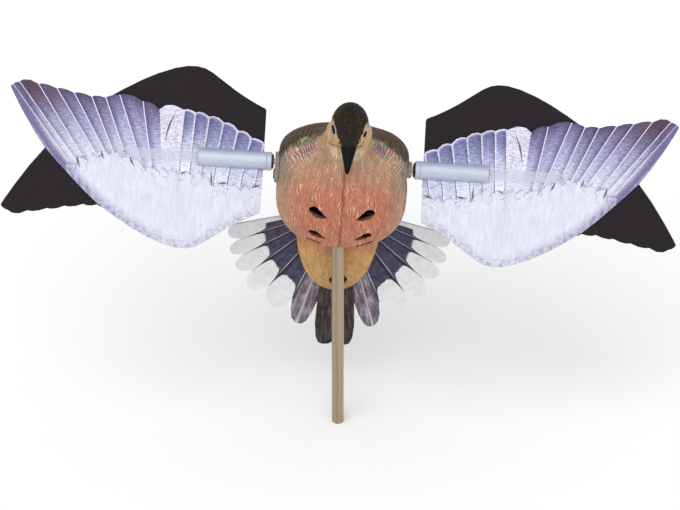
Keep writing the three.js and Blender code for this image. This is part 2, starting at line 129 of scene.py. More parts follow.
def rear_size(z, inset):
    """Half width of the rear at a height, and its reach forward and back."""
    above = dome((z - REAR["level"]) / (REAR["top"] - inset - REAR["level"]), 2.4, 2.2)
    below = dome((REAR["level"] - z) / (REAR["level"] - REAR["bottom"] - inset), 2.4, 2.2)
    return [(REAR[side] - inset) * above * below for side in ("width", "front", "back")]


def chest_points(ball, inset):
    return level_rings(ball, CHEST, inset, chest_size)


def rear_points(ball, inset):
    return level_rings(ball, REAR, inset, rear_size)


def neck_points(ball, inset):
    start, end = np.array(NECK["from"], float), np.array(HEAD["centre"], float)
    along = (end - start) / np.linalg.norm(end - start)
    forward = np.cross((1, 0, 0), along)
    forward /= np.linalg.norm(forward)
    side = np.cross(forward, along)
    share = ((1 + ball[:, 2]) / 2)[:, None]
    reach = np.maximum(np.hypot(ball[:, 0], ball[:, 1]), 1e-9)[:, None]
    radius = NECK["end"] + (NECK["base"] - NECK["end"]) * (1 - share) ** NECK["power"] - inset
    radius = np.where(np.abs(ball[:, 2:3]) < 1 - 1e-6, radius, 0)
    ring = side * ball[:, :1] + NECK["flat"] * forward * ball[:, 1:2]
    return start + (end - start) * share + radius * ring / reach


def head_points(ball, inset):
    return carried(ball * (np.array([HEAD["side"], HEAD["length"], HEAD["height"]]) - inset), head_pose)


def cheek_points(ball, inset):
    sizes = np.array([CHEEKS["side"], CHEEKS["length"], CHEEKS["height"]]) - inset
    return carried(ball * sizes - (0, CHEEKS["ahead"], CHEEKS["below"]), head_pose)


# Each rounded form of the body, with how finely its skin and then its hollow are divided
BODY_FORMS = (
    (chest_points, (128, 80), (48, 30)),
    (rear_points, (96, 56), (36, 18)),
    (neck_points, (96, 40), (32, 12)),
    (head_points, (72, 48), (28, 18)),
    (cheek_points, (72, 48), (28, 14)),
)


def ball_form(rule, divided, inset=0, form=None):
    """A closed round form: a ball whose points are moved by the rule."""
    if form is None:
        form = bmesh.new()
    around, along = divided
    verts = bmesh.ops.create_uvsphere(form, u_segments=around, v_segments=along, radius=1)["verts"]
    for vert, spot in zip(verts, rule(np.array([v.co for v in verts]), inset)):
        vert.co = spot
    bmesh.ops.recalc_face_normals(form, faces=form.faces)
    return form


def piece(name, form, place=bird_place):
    """The object of a finished form, given in millimetres in the frame of the place."""
    mesh = bpy.data.meshes.new(name)
    form.transform(place)
    form.to_mesh(mesh)
    form.free()
    made = bpy.data.objects.new(name, mesh)
    bpy.context.scene.collection.objects.link(made)
    return made


def settle(made):
    """Applies the object's modifiers to its mesh."""
    bpy.context.view_layer.update()
    shown = made.evaluated_get(bpy.context.evaluated_depsgraph_get())
    mesh = bpy.data.meshes.new_from_object(shown)
    made.modifiers.clear()
    made.data = mesh


def read_points(made, field="co"):
    """The places of a piece's vertices, or their normals."""
    flat = np.zeros(len(made.data.vertices) * 3, np.float32)
    made.data.vertices.foreach_get(field, flat)
    return flat.reshape(-1, 3).astype(float)


def bird_coordinates(made):
    """Vertex places in millimetres in the bird's frame, from a piece that is in place."""
    return carried(read_points(made), bird_place.inverted())


def put_coordinates(made, points):
    made.data.vertices.foreach_set("co", carried(points, bird_place).astype(np.float32).ravel())
    made.data.update()


skin_form = bmesh.new()
for rule, divided, _ in BODY_FORMS:
    ball_form(rule, divided, form=skin_form)
body = piece("bird_body", skin_form)
remesh = body.modifiers.new("one_skin", "REMESH")
remesh.mode = "VOXEL"
remesh.voxel_size = SKIN_VOXEL * MM
settle(body)


def smoothstep(value, low, high):
    share = np.clip((value - low) / (high - low), 0, 1)
    return share * share * (3 - 2 * share)


def relax(made, points, weight, rounds):
    """Evens out a mesh where the weight is above 0."""
    ends = np.zeros(len(made.data.edges) * 2, np.int64)
    made.data.edges.foreach_get("vertices", ends)
    a, b = ends.reshape(-1, 2).T
    size = len(points)
    count = np.bincount(ends, minlength=size)[:, None]
    for _ in range(rounds):
        total = [np.bincount(a, points[b, k], size) + np.bincount(b, points[a, k], size) for k in range(3)]
        points = points + 0.6 * weight[:, None] * (np.stack(total, 1) / count - points)
    return points


# The neck flows into the shoulders and breast without an edge, and the breast's lower
# edge is only a little rounded where the rump comes out from under it
NECK_MIDDLE, NECK_WAY = np.array([1.0, -20, 30]), np.array([0.02, -0.52, 0.85])
places = bird_coordinates(body)
from_neck = places - NECK_MIDDLE
up_neck = from_neck @ NECK_WAY
off_neck = np.linalg.norm(from_neck - np.outer(up_neck, NECK_WAY), axis=1)
collar = smoothstep(-up_neck, -16, -6) * smoothstep(-off_neck, -52, -34) * smoothstep(places[:, 2], -8, 8)
places = relax(body, places, np.ones(len(places)), 3)
places = relax(body, places, collar, 160)
put_coordinates(body, places)


def waves(points, scale, seed, terms=7):
    """Smooth wandering values of about -1 to 1 that repeat nowhere on the piece."""
    rng = np.random.default_rng(seed)
    total = np.zeros(len(points))
    for _ in range(terms):
        direction = rng.normal(size=3)
        direction *= 2 * math.pi / (scale * rng.uniform(0.7, 1.4) * np.linalg.norm(direction))
        total += np.sin(points @ direction + rng.uniform(0, 2 * math.pi))
    return total / math.sqrt(terms)


# The plumage flows from the crown over the body to the tail. It is cut as wavy ridges on
# the breast and as staggered rows of rounded feather tips on the back.
FEATHER_ROW = 6.2
FEATHER_SPREAD = 5.6
RIDGE = 2.8
ARC = 4.6
RELIEF = 0.5
CROWN_POINT = np.array([0.0, -18.0, 62.0])
TAIL_WAY = np.array([0.0, 0.16, -0.987])


def plumage_map(points):
    """Way across the plumage from the breast seam, distance from the crown, and the turn."""
    away = points - CROWN_POINT
    girth = np.linalg.norm(away - np.outer(away @ TAIL_WAY, TAIL_WAY), axis=1)
    turn = np.arctan2(away[:, 0], away @ np.cross(TAIL_WAY, (1, 0, 0)))
    return turn * (0.35 * girth + 26), np.linalg.norm(away, axis=1), turn


def row_relief(points):
    """Height from 0 to 1 of overlapping rows of feather tips."""
    _, distance, turn = plumage_map(points)
    distance = distance + 1.5 * waves(points, 13, 3)
    drift = 0.18 * waves(points, 11, 4)
    height = np.zeros(len(points))
    row_now = np.floor(distance / FEATHER_ROW)
    for back in (2, 1, 0):
        row = row_now - back
        girth = np.interp(row * FEATHER_ROW, [0, 40, 80, 200], [12, 42, 50, 30])
        place = turn / (2 * np.pi) * np.maximum(12, np.round(2 * np.pi * girth / FEATHER_SPREAD))
        place = place + 0.5 * (row % 2) + drift
        sway = np.sin(np.floor(place) * 12.9898 + row * 78.233) * 0.16
        off = (place - np.floor(place) - 0.5 + sway * 0.5) * 2
        reach = (distance - row * FEATHER_ROW) / (FEATHER_ROW * (1.75 + sway))
        tip = 1 - 0.42 * np.abs(off) ** 2.4
        rise = 0.25 + 0.75 * (reach / tip) ** 1.3 - 0.3 * np.abs(off) ** 3
        height = np.where(reach < tip, np.maximum(rise, 0), height)
    return height


def ridge_lines(points):
    """Count of the engraved lines passed on the way round the breast, and down from the neck."""
    across, distance, _ = plumage_map(points)
    bend, ripple = waves(points, 17, 31), waves(points, 6, 32)
    return across / RIDGE + 0.42 * bend + 0.2 * ripple, distance / ARC + 0.26 * bend + 0.08 * ripple


def height_seen(points):
    """How high a point stands when the bird is looked at from a little above."""
    return 0.5 * points[:, 1] + 0.866 * points[:, 2]


def on_shoulder(points):
    side, seen = np.abs(points[:, 0]), height_seen(points)
    return smoothstep(side + 0.6 * seen + waves(points, 9, 21), 22, 36) * smoothstep(seen, -14, 6)


def on_back(points):
    return smoothstep(points[:, 1] + 0.35 * points[:, 2], 2, 16)


def ridge_relief(points):
    """Height from 0 to 1 of wavy ridges: down the breast, and round the neck at the shoulders."""
    round_way, down_way = (np.sin(2 * np.pi * way) for way in ridge_lines(points))
    on_side = on_shoulder(points)
    return 0.5 + 0.5 * (round_way * (1 - on_side) + down_way * on_side)


places = bird_coordinates(body)
normals = read_points(body, "normal") @ np.array(bird_place)[:3, :3] / MM
off_head = 1 - smoothstep(-np.linalg.norm(places - np.array(HEAD["centre"]), axis=1), -27, -17)
backward = on_back(places)
depth = (RELIEF - 0.1 * backward) * (0.15 + 0.85 * off_head)
relief = ridge_relief(places) * (1 - backward) + row_relief(places) * backward
swell = 0.12 * waves(places, 17, 9)
places = places + normals * (depth * (relief - 0.6) + swell * off_head)[:, None]
put_coordinates(body, places)


def linear(colour):
    """An sRGB hex colour as the linear values that a shader takes."""
    parts = [int(colour[i : i + 2], 16) / 255 for i in (1, 3, 5)]
    return [p / 12.92 if p <= 0.04045 else ((p + 0.055) / 1.055) ** 2.4 for p in parts] + [1.0]


def wire(node, sockets):
    """Sets a node's sockets, by name or in order, to a number, a colour or another node."""
    shown = [socket for socket in node.inputs if socket.enabled]
    if isinstance(sockets, dict):
        shown = [next(socket for socket in shown if socket.name == name) for name in sockets]
        sockets = sockets.values()
    for socket, value in zip(shown, sockets):
        if isinstance(value, bpy.types.Node):
            value = next(output for output in value.outputs if output.enabled)
        if isinstance(value, bpy.types.NodeSocket):
            node.id_data.links.new(value, socket)
        else:
            socket.default_value = linear(value) if isinstance(value, str) else value


def add_node(tree, kind, sockets=(), **settings):
    """Adds a node with its settings and links."""
    node = tree.nodes.new("ShaderNode" + kind)
    for name, value in settings.items():
        setattr(node, name, value)
    wire(node, sockets)
    return node


def material(name, **constants):
    """A new material, its shader with constants set, and the function that adds its nodes."""
    made = bpy.data.materials.new(name)
    made.use_nodes = True
    shader = made.node_tree.nodes["Principled BSDF"]
    wire(shader, {key.replace("_", " "): value for key, value in constants.items()})
    return made, shader, partial(add_node, made.node_tree)


def grain(add, size, detail=3, rough=0.5, stretch=(1, 1, 1), **more):
    """A noise of a real size in millimetres, drawn out along an axis whose stretch is under 1."""
    place = add("Mapping", {"Vector": add("TexCoord").outputs["Object"], "Scale": stretch})
    settings = {"Vector": place, "Scale": 1 / (size * MM), "Detail": detail, "Roughness": rough}
    return add("TexNoise", {**settings, **more})


def coat(add, below, above, *shares):
    """A colour laid over another, as thick as the product of its shares.

    A share is a number, a node, or a range: the value it follows, where the range starts
    and ends, and how thick it is there. It eases in and out, unless it ends in LINEAR.
    """
    thick = []
    for share in shares:
        if isinstance(share, tuple):
            way = share[5] if len(share) > 5 else "SMOOTHSTEP"
            share = add("MapRange", share[:5], interpolation_type=way)
        thick.append(share if not thick else add("Math", (thick[-1], share), operation="MULTIPLY"))
    return add("Mix", (thick[-1], below, above), data_type="RGBA")


# Matt sprayed acrylic over moulded plastic: soft colour zones over engraved plumage, with
# painted shade in the valleys and painted highlights on the ridges, and a fine grain. A
# sprayed zone has a dark and a light colour, a brushed dab its colour and how thick it is at
# the least, and a drawn line its colour and strength.
SPRAYED = {
    "salmon": ("#ba6b50", "#d6886c"), "flank": ("#857669", "#a5958a"), "rump": ("#ca9857", "#e8bc7e"),
    "under": ("#c87f5b", "#e09f76"), "face": ("#c8a070", "#e8c698"), "mantle": ("#2c221a", "#4d3e31"),
}
# Of the brushed dabs, the gape ones are painted shade in the creases under the cheeks; the others are paint
BRUSHED = {
    "green": ("#47806a", 0.3), "rose": ("#93487e", 0.3), "teal": ("#5f9486", 0.2), "chin": ("#e9d8bf", 0.5),
    "gape": ("#7a4a2c", 0.4),
}
# The seam line is a dark joint; the slit line is a painted shadow along each breast slit
DRAWN = {"seam": ("#5d3828", 0.6), "slit": ("#140804", 0.95)}
paint, shader, add = material("sprayed_acrylic_on_moulded_plastic", Roughness=0.62, Specular_IOR_Level=0.22)
zone = {
    name: add("Attribute", attribute_name=name).outputs["Fac"]
    for name in (*SPRAYED, *BRUSHED, *DRAWN, "crown", "collar", "on_back", "tips", "round_way", "down_way")
}
mottle = grain(add, 7, detail=4, rough=0.6)
streak = grain(add, 1.8, rough=0.65, stretch=(1, 1, 0.35), Distortion=0.6)
flow = add("Attribute", attribute_name="plumage").outputs["Vector"]
broken = add("Mapping", {"Vector": flow, "Scale": (1, 0.3, 1)})
broken = add("TexNoise", {"Vector": broken, "Scale": 0.33, "Detail": 2, "Roughness": 0.6, "Distortion": 0.5})
lines = []
for way, weight in (("round_way", 1), ("down_way", 0.5)):
    turns = add("Math", (zone[way], 2), operation="MULTIPLY")
    turns = add("Math", (broken, weight, turns), operation="MULTIPLY_ADD")
    turns = add("Math", (turns, 2 * math.pi), operation="MULTIPLY")
    lines.append(add("Math", (turns,), operation="SINE"))
raised = add("MapRange", (add("Mix", (zone["collar"], *lines)), -0.7, 1, 0, 1))
for softer in ((broken, 0.3, 0.62, 0.25, 1), (zone["rump"], 0, 1, 1, 0.6)):
    raised = add("Math", (raised, add("MapRange", softer)), operation="MULTIPLY")

colour = add("Mix", (mottle, "#b68e72", "#cea88c"), data_type="RGBA")
for name, (low, high) in SPRAYED.items():
    tint = add("Mix", (mottle, low, high), data_type="RGBA")
    colour = coat(add, colour, tint, zone[name])
for name, (tint, least) in BRUSHED.items():
    colour = coat(add, colour, tint, (streak, 0.36, 0.58, least, 0.85, "LINEAR"), zone[name])
# Painted shade in the valleys and painted highlights on the ridges and on the rows of feather tips, broken by
# the grain
ridge_shade = add("MapRange", (raised, 0, 0.9, 0.74, 1.18))
row_shade = add("MapRange", (zone["tips"], 0.1, 1, 0.72, 1.25))
shade = add("Mix", (zone["on_back"], ridge_shade, row_shade))
shade = add("Math", (shade, add("MapRange", (streak, 0.34, 0.66, 0.78, 1.22))), operation="MULTIPLY")
colour = add("Mix", (1, colour, shade), data_type="RGBA", blend_type="MULTIPLY")
not_back = add("Math", (1, zone["on_back"]), operation="SUBTRACT")
not_back = add("Math", (not_back, zone["mantle"]), operation="SUBTRACT", use_clamp=True)
more_on_collar = (zone["collar"], 0, 1, 1, 1.7, "LINEAR")
# Painted highlights on the ridge tops: pale ones off the back and mantle, strongest on the collar, and brown
# ones on the mantle
colour = coat(add, colour, "#ecd0b2", (raised, 0.35, 1, 0, 0.42, "LINEAR"), more_on_collar, not_back)
colour = coat(add, colour, "#8f765c", raised, zone["mantle"], 0.5)
hairs = add("MapRange", (streak, 0.36, 0.64, 0, 1))
crown = add("Mix", (hairs, "#080402", "#33271a"), data_type="RGBA")
ragged = add("Math", (hairs, 0.5), operation="SUBTRACT")
ragged = add("Math", (ragged, 0.7, zone["crown"]), operation="MULTIPLY_ADD")
colour = coat(add, colour, crown, (ragged, 0.3, 0.7, 0, 1, "LINEAR"))
for name, (tint, strength) in DRAWN.items():
    colour = coat(add, colour, tint, zone[name], strength)
ridge_bump = add("Bump", {"Strength": 0.9, "Distance": 0.6 * MM, "Height": raised})
fine_bump = add("Bump", {"Strength": 0.4, "Distance": 0.3 * MM, "Height": streak, "Normal": ridge_bump})
wire(shader, {"Base Color": colour, "Normal": fine_bump})


def speckled(name, size, dark, light, relief=None, detail=3, rough=0.5, **constants):
    """A material that wanders between two colours over a grain of a real size.

    The relief is how strongly the grain stands out, and how deep it is in millimetres.
    """
    made, shader, add = material(name, **constants)
    speckle = grain(add, size, detail, rough)
    wire(shader, {"Base Color": add("Mix", (speckle, dark, light), data_type="RGBA")})
    if relief:
        strength, depth = relief
        grain_bump = add("Bump", {"Strength": strength, "Distance": depth * MM, "Height": speckle})
        wire(shader, {"Normal": grain_bump})
    return made


# Bare unpainted foam inside the shell, seen dimly through the vents
inside = speckled("bare_foamed_plastic", 2, "#8f7468", "#ad9184", Roughness=0.8)

# Paint on the sloping edges of the vents, reddish at the skin, with painted shade that turns
# it dark brown further in
vent_edge_paint_and_shade, shader, add = material("vent_edge_paint_and_painted_shade", Roughness=0.7, Specular_IOR_Level=0.2)
speckle = grain(add, 1.5)
reddish = add("Mix", (speckle, "#74412f", "#9c5f4c"), data_type="RGBA")
brown = add("Mix", (speckle, "#24110d", "#3c211a"), data_type="RGBA")
lip = add("Attribute", attribute_name="lip").outputs["Fac"]
wire(shader, {"Base Color": coat(add, reddish, brown, lip)})

body.data.materials.clear()
for finish in (paint, inside, vent_edge_paint_and_shade):
    body.data.materials.append(finish)


# Openings: the hollow inside, four lens-shaped vents and two slits in the breast, a round
# hole low on the belly, the shaft holes, the pole's bore and the slot for the tail sheet
VENT = {
    "length": 14.2, "height": 9.8, "slope": 9, "from": -36, "inward": 6, "outward": 20, "lip_rise": 3,
    "lip_depth": 3.6,
}
VENTS = [{"side": 17.2, "height": -10, "tilt": 6}, {"side": 16.6, "height": -30, "tilt": 24}]
SLIT = {"size": (10, 16, 1), "side": 20.5, "front": -38, "height": -43.5, "slope": 24}
BELLY_HOLE = {"radius": 7.3, "length": 16, "place": (2.4, -6, -101), "tilt": 23}
SHAFT_HOLE = {"radius": 4.5, "length": 110}
POLE = {"radius": 4.75, "bore": 5.05, "roof": 35, "clear_below": 25, "socket_wall": 2.4, "before_shaft": 20}
TAIL_SLOT = {"size": (110, 1.8, 70), "place": (0, 22, -86)}
pole_top_place = moved(0, -POLE["before_shaft"], CHEST["bottom"]) @ turned(-LEAN, "Y")


def cut(made, form, finish=0, place=bird_place, operation="DIFFERENCE"):
    """Takes a closed form out of a piece. The cut faces take that one of its finishes."""
    cutter = piece("cutter", form, place)
    for each in made.data.materials:
        cutter.data.materials.append(each)
    cutter.data.polygons.foreach_set("material_index", [finish] * len(cutter.data.polygons))
    change = made.modifiers.new("cut", "BOOLEAN")
    change.operation = operation
    change.solver = "MANIFOLD"
    change.object = cutter
    settle(made)
    bpy.data.objects.remove(cutter)


def box_form(size, place):
    form = bmesh.new()
    bmesh.ops.create_cube(form, size=1, matrix=place @ Matrix.Diagonal((*size, 1)))
    return form


def rod_form(radius, length, place):
    form = bmesh.new()
    bmesh.ops.create_cone(
        form, cap_ends=True, segments=40, radius1=radius, radius2=radius, depth=length, matrix=place
    )
    return form


def breast_depth(points):
    """How far behind the breast's front face each point lies."""
    width, front, _ = chest_size(points[:, 2])
    share = np.clip(np.abs(points[:, 0]) / np.maximum(width, 1e-6), 0, 1)
    return points[:, 1] - CHEST["middle"] + front * (1 - share ** CHEST["square"]) ** (1 / CHEST["square"])


def vent_form(side, vent):
    """A lens with a round outer end, a pointed inner one and a lower wall that slopes in."""
    half, round_end = VENT["length"] / 2, VENT["height"] / 2
    middle, steps = round_end - half, np.linspace(0, 1, 7)
    halves = []
    for end, control in ((1, 0.95), (-1, -1.05)):
        ahead = (1 - steps) ** 2 * half + steps**2 * middle
        up = round_end * (-0.35 * (1 - steps) ** 2 + 2 * steps * (1 - steps) * control + steps**2 * end)
        halves.append(list(zip(ahead, up)))
    arc = [
        (middle + round_end * math.cos(a), round_end * math.sin(a))
        for a in np.linspace(math.pi / 2, 1.5 * math.pi, 9)[1:-1]
    ]
    loop = halves[0] + arc + halves[1][:0:-1]
    skin = breast_depth(np.array([[vent["side"], VENT["from"], vent["height"]]]))[0] + 0.3
    rise, inner = VENT["lip_rise"], skin - VENT["lip_depth"]
    form, rings = bmesh.new(), []
    for level, lift in ((-VENT["inward"], rise), (inner, rise), (skin, 0), (VENT["outward"], 0)):
        verts = [form.verts.new((-side * x, y + lift * max(0, -y / round_end), level)) for x, y in loop]
        rings.append((verts, [form.edges.new(pair) for pair in zip(verts, verts[1:] + verts[:1])]))
    for (_, low), (_, high) in zip(rings, rings[1:]):
        bmesh.ops.bridge_loops(form, edges=low + high)
    for verts, _ in (rings[0], rings[-1]):
        form.faces.new(verts)
    bmesh.ops.recalc_face_normals(form, faces=form.faces)
    start = moved(side * vent["side"], VENT["from"], vent["height"])
    form.transform(start @ turned(90 + vent["tilt"], "X") @ turned(side * VENT["slope"], "Z"))
    return form


for rule, _, divided in BODY_FORMS:
    cut(body, ball_form(rule, divided, WALL), finish=1)
for side in (-1, 1):
    for vent in VENTS:
        cut(body, vent_form(side, vent), finish=2)
    slit_place = moved(side * SLIT["side"], SLIT["front"], SLIT["height"])
    slit_place = slit_place @ turned(-side * SLIT["slope"], "Y") @ turned(SLIT["slope"], "X")
    cut(body, box_form(SLIT["size"], slit_place), finish=1)
belly_place = moved(*BELLY_HOLE["place"]) @ turned(90 + BELLY_HOLE["tilt"], "X")
cut(body, rod_form(BELLY_HOLE["radius"], BELLY_HOLE["length"], belly_place))
cut(body, rod_form(SHAFT_HOLE["radius"], SHAFT_HOLE["length"], turned(90, "Y")))
bore_length = POLE["roof"] + POLE["clear_below"]
cut(body, rod_form(POLE["bore"], bore_length, pole_top_place @ moved(0, 0, POLE["roof"] - bore_length / 2)))
cut(body, box_form(TAIL_SLOT["size"], moved(*TAIL_SLOT["place"])))


# Dabs of paint: iridescent ones on both shoulders, pale ones beside the beak, and brown
# painted shade running back from its corners in the creases under the cheeks. Each runs from
# one point to another, as far across and as high as it is seen, and has a thickness. The
# painted shadow lines along the slits are given across and up.
DABS = {
    "green": [((-23.5, 17), (-33.5, 13), 2), ((22.8, 16.6), (31, 14.8), 2)],
    "rose": [((-24, 12.8), (-35.5, 5.6), 2.3), ((21.9, 14.2), (33, 10.4), 2.1)],
    "teal": [((-24.6, 8.3), (-30.6, 4.8), 1.3), ((24.6, 10.8), (31, 6.6), 1.4)],
    "chin": [((-8, 9.6), (-2.2, 6.2), 2.9), ((10.6, 10.4), (7.8, 6), 2.4)],
    # Painted shade in the creases under the cheeks, running back from the beak's corners
    "gape": [((-5.2, 13.4), (-12.4, 15.4), 0.6), ((7.6, 14), (12, 15), 0.6)],
}
SLIT_SHADES = [((-23, -42.6), (-14.5, -46.6), 1.35), ((24.4, -42.2), (14, -47.2), 1.35)]


def strokes(across, up, dabs):
    """Where dabs of paint lie, from 0 to 1."""
    point, shares = np.stack([across, up], 1), []
    for start, end, thickness in dabs:
        a, b = np.array(start, float), np.array(end, float)
        share = np.clip((point - a) @ (b - a) / ((b - a) @ (b - a)), 0, 1)
        off = np.linalg.norm(point - a - share[:, None] * (b - a), axis=1)
        shares.append(smoothstep(-off, -thickness * 1.5, -thickness * 0.6))
    return np.max(shares, axis=0)


# Paint zones, from 0 to 1, worked out from where a point lies on the bird
places = bird_coordinates(body)
x, y, z = places.T
side, seen = np.abs(x), height_seen(places)
on_face = carried(places, head_pose.inverted())
from_head = np.linalg.norm(on_face, axis=1)
face_near = smoothstep(-from_head, -29, -20)
wander, fine = waves(places, 9, 21), waves(places, 4, 22)
uneven = wander * 1.2 + fine * 0.7
edge = np.interp(side, [10, 13, 18, 24, 32, 41, 48], [60, 33, 22.5, 19, 16, 9.5, 2])
level = 0.966 * on_face[:, 1] + 0.259 * on_face[:, 2]
cap = 11.3 + 0.37 * level - np.abs(on_face[:, 0]) + 0.35 * wander + 0.25 * fine
nape = smoothstep(0.9 * (y + 4) + 0.435 * z + uneven, 4, 12) * smoothstep(-side, -30, -20)
bare_face = 1 - face_near * smoothstep(-on_face[:, 2], -6, 2) * smoothstep(-on_face[:, 1], -8, 1)
in_front = smoothstep(z, 0, 6) * smoothstep(-y, -6, 0)
across, down, _ = plumage_map(places)
round_way, down_way = ridge_lines(places)
zones = {
    "mantle": bare_face * np.maximum.reduce([
        smoothstep(seen + uneven - edge, -3.5, 3.5),
        smoothstep(y + wander - 14 - 0.05 * z, 0, 8),
        nape * smoothstep(z, 2, 12),
    ]),
    "salmon": smoothstep(-seen + wander * 2 + fine, -7, 30) * smoothstep(-side, -50, -28),
    "flank": smoothstep(side + wander * 1.2 - 0.1 * seen, 32, 45) * smoothstep(seen, -28, 0),
    "collar": on_shoulder(places),
    "rump": smoothstep(-z, 58.5, 61),
    "under": smoothstep(z + fine, -82, -62) * smoothstep(-z, 58, 60),
    "face": face_near * smoothstep(-on_face[:, 1], -8, 4),
    "crown": smoothstep(cap, -1.5, 1.5) * smoothstep(on_face[:, 2], -5, 1) * smoothstep(-from_head, -26, -20),
    # Painted shade deepening into the vents, by depth behind the breast's face
    "lip": smoothstep(breast_depth(places), -0.6, 2.2),
    # Painted shadow along the slits
    "slit": strokes(x, z, SLIT_SHADES) * smoothstep(-y, 22, 28),
    "seam": smoothstep(-np.abs(x + 0.25 * wander), -1.3, -0.35)
    * smoothstep(-y, 22, 34)
    * smoothstep(-z, -24, -14),
    "on_back": on_back(places),
    "tips": row_relief(places),
    "round_way": round_way,
    "down_way": down_way,
    "plumage": np.stack([across, down, 0.4 * y], 1),
    **{name: in_front * strokes(x, seen, dabs) for name, dabs in DABS.items()},
}


def values_on(made, layers):
    """Stores named values on the vertices, for the materials to read."""
    for name, values in layers.items():
        kind, field = ("FLOAT_VECTOR", "vector") if np.ndim(values) == 2 else ("FLOAT", "value")
        layer = made.data.attributes.new(name, kind, "POINT")
        layer.data.foreach_set(field, np.asarray(values, np.float32).ravel())


def dress(made, finish, moves_with, node, edge_angle=None):
    """Gives a piece its finish and its place in the frame.

    With an edge angle the piece is smooth, but for its edges that are sharper than that.
    """
    if finish:
        made.data.materials.append(finish)
    if edge_angle:
        made.data.polygons.foreach_set("use_smooth", [True] * len(made.data.polygons))
        made.data.set_sharp_from_angle(angle=math.radians(edge_angle))
    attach(made, moves_with)
    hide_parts(node)


values_on(body, zones)
dress(body, None, "bird", "body_shell", 55)


# The beak is a short hooked bill set into the face, of hard plastic painted black. A fine
# line parts its upper and lower halves and two slits make the nostrils.
BEAK = {"start": 11, "end": 35.6, "width": 6.9, "height": 4.8, "taper": 0.83, "low": 1.5, "hook": 1.6}


def beak_points(ball, _):
    share = np.arccos(np.clip(-ball[:, 2], -1, 1)) / math.pi
    reach = BEAK["start"] + (BEAK["end"] - BEAK["start"]) * share
    around = np.hypot(ball[:, 0], ball[:, 1])
    taper = (1 - BEAK["taper"] * share) * np.sqrt(1 - np.clip((share - 0.9) / 0.1, 0, 1) ** 2)
    across, up = ball[:, :2].T / np.maximum(around, 1e-9)
    gape = 0.1 * np.exp(-(((up + 0.18) / 0.1) ** 2)) * smoothstep(-share, -0.93, -0.8)
    nostril = 0.16 * np.exp(-(((up - 0.62) / 0.16) ** 2) - ((share - 0.36) / 0.07) ** 2)
    size = np.where(around > 1e-6, taper, 0) * (1 - gape - nostril)
    bend = BEAK["low"] + BEAK["hook"] * share**2 + 0.3 * share**4
    return np.stack([across * BEAK["width"] * size, -reach, up * BEAK["height"] * size - bend], 1)


# Semi-gloss black paint: a deep black with a soft, faintly broken shine
beak_finish = speckled(
    "semi_gloss_black_acrylic", 1.2, "#040305", "#0e0c10", (0.3, 0.2), Roughness=0.4, Specular_IOR_Level=0.12
)
beak = piece("beak", ball_form(beak_points, (64, 44)), bird_place @ head_pose)
dress(beak, beak_finish, "bird", "body_shell", 180)


# The eyes are glossy black lens-shaped domes moulded high on the head, each in a thin
# bluish-white rim. The two were painted by hand and don't quite match.
EYES = {
    "left": {"at": (-11.6, -5.4, 6.0), "length": 3.7, "height": 1.8},
    "right": {"at": (10.9, -7.5, 6.0), "length": 2.5, "height": 1.5},
}
EYE_DEPTH = 1
RIM = 0.28

# Lacquer: black with one small sharp highlight. Rim paint: a chalky line around it.
gloss = speckled(
    "gloss_black_lacquer", 3, "#040304", "#100c0b", detail=1, Roughness=0.14, Specular_IOR_Level=0.2
)
ring_paint = speckled("matt_bluish_white_paint", 1.5, "#8a93a4", "#c3cad4", Roughness=0.6)


def spun_form(profile, steps, closed=True):
    """A form turned about Z from a profile of radius and height."""
    form = bmesh.new()
    verts = [form.verts.new((radius, 0, height)) for radius, height in profile]
    pairs = list(zip(verts, verts[1:])) + ([(verts[-1], verts[0])] if closed else [])
    edges = [form.edges.new(pair) for pair in pairs]
    bmesh.ops.spin(
        form, geom=verts + edges, cent=(0, 0, 0), axis=(0, 0, 1), angle=2 * math.pi,
        steps=steps, use_merge=True,
    )
    bmesh.ops.remove_doubles(form, verts=form.verts, dist=1e-4)
    bmesh.ops.recalc_face_normals(form, faces=form.faces)
    return form


for label, sizes in EYES.items():
    spot, length, height = sizes["at"], sizes["length"], sizes["height"]
    outward = Vector(spot[i] / HEAD[size] ** 2 for i, size in enumerate(("side", "length", "height")))
    eye_pose = head_pose @ moved(*spot) @ outward.to_track_quat("X", "Z").to_matrix().to_4x4()
    eye_form = bmesh.new()
    bmesh.ops.create_uvsphere(
        eye_form, u_segments=48, v_segments=32, radius=1,
        matrix=eye_pose @ Matrix.Diagonal((EYE_DEPTH, length, height, 1)),
    )
    rim_at, angles = height + RIM * 0.6, np.linspace(0, 2 * math.pi, 15)[:-1]
    ring_form = spun_form([(rim_at + RIM * math.sin(a), RIM * math.cos(a)) for a in angles], 56)
    stretch = Matrix.Diagonal((1, length / height, 0.8, 1))
    ring_form.transform(eye_pose @ moved(0, 0, 0.5) @ turned(90, "Y") @ stretch)
    for name, form, finish in (("eye_", eye_form, gloss), ("eye_ring_", ring_form, ring_paint)):
        dress(piece(name + label, form), finish, "bird", "body_shell", 180)


# A plain round socket is moulded inside the chest for the top of the pole. It is bare foam
# like the rest of the hollow and hardly shows through the vents.
bore, outer, roof = POLE["bore"], POLE["bore"] + POLE["socket_wall"], POLE["roof"]
socket_form = spun_form(
    [
        (bore, -4), (outer, -4), (outer, roof + 2), (outer - 0.5, roof + 2.5), (0, roof + 2.5), (0, roof),
        (bore, roof),
    ],
    56,
)
socket_form.transform(pole_top_place)
socket = piece("pole_socket", socket_form)
socket.data.materials.append(inside)
cut(socket, ball_form(chest_points, (48, 30), WALL * 0.7), operation="INTERSECT")
dress(socket, None, "bird", "body_shell", 40)


# The pole is a straight steel tube with a satin champagne finish. It stands upright in
# the ground, where it is cut off flat, and the bird is pushed onto its top.
pole_low, pole_high = (Vector(corner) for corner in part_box("pole"))
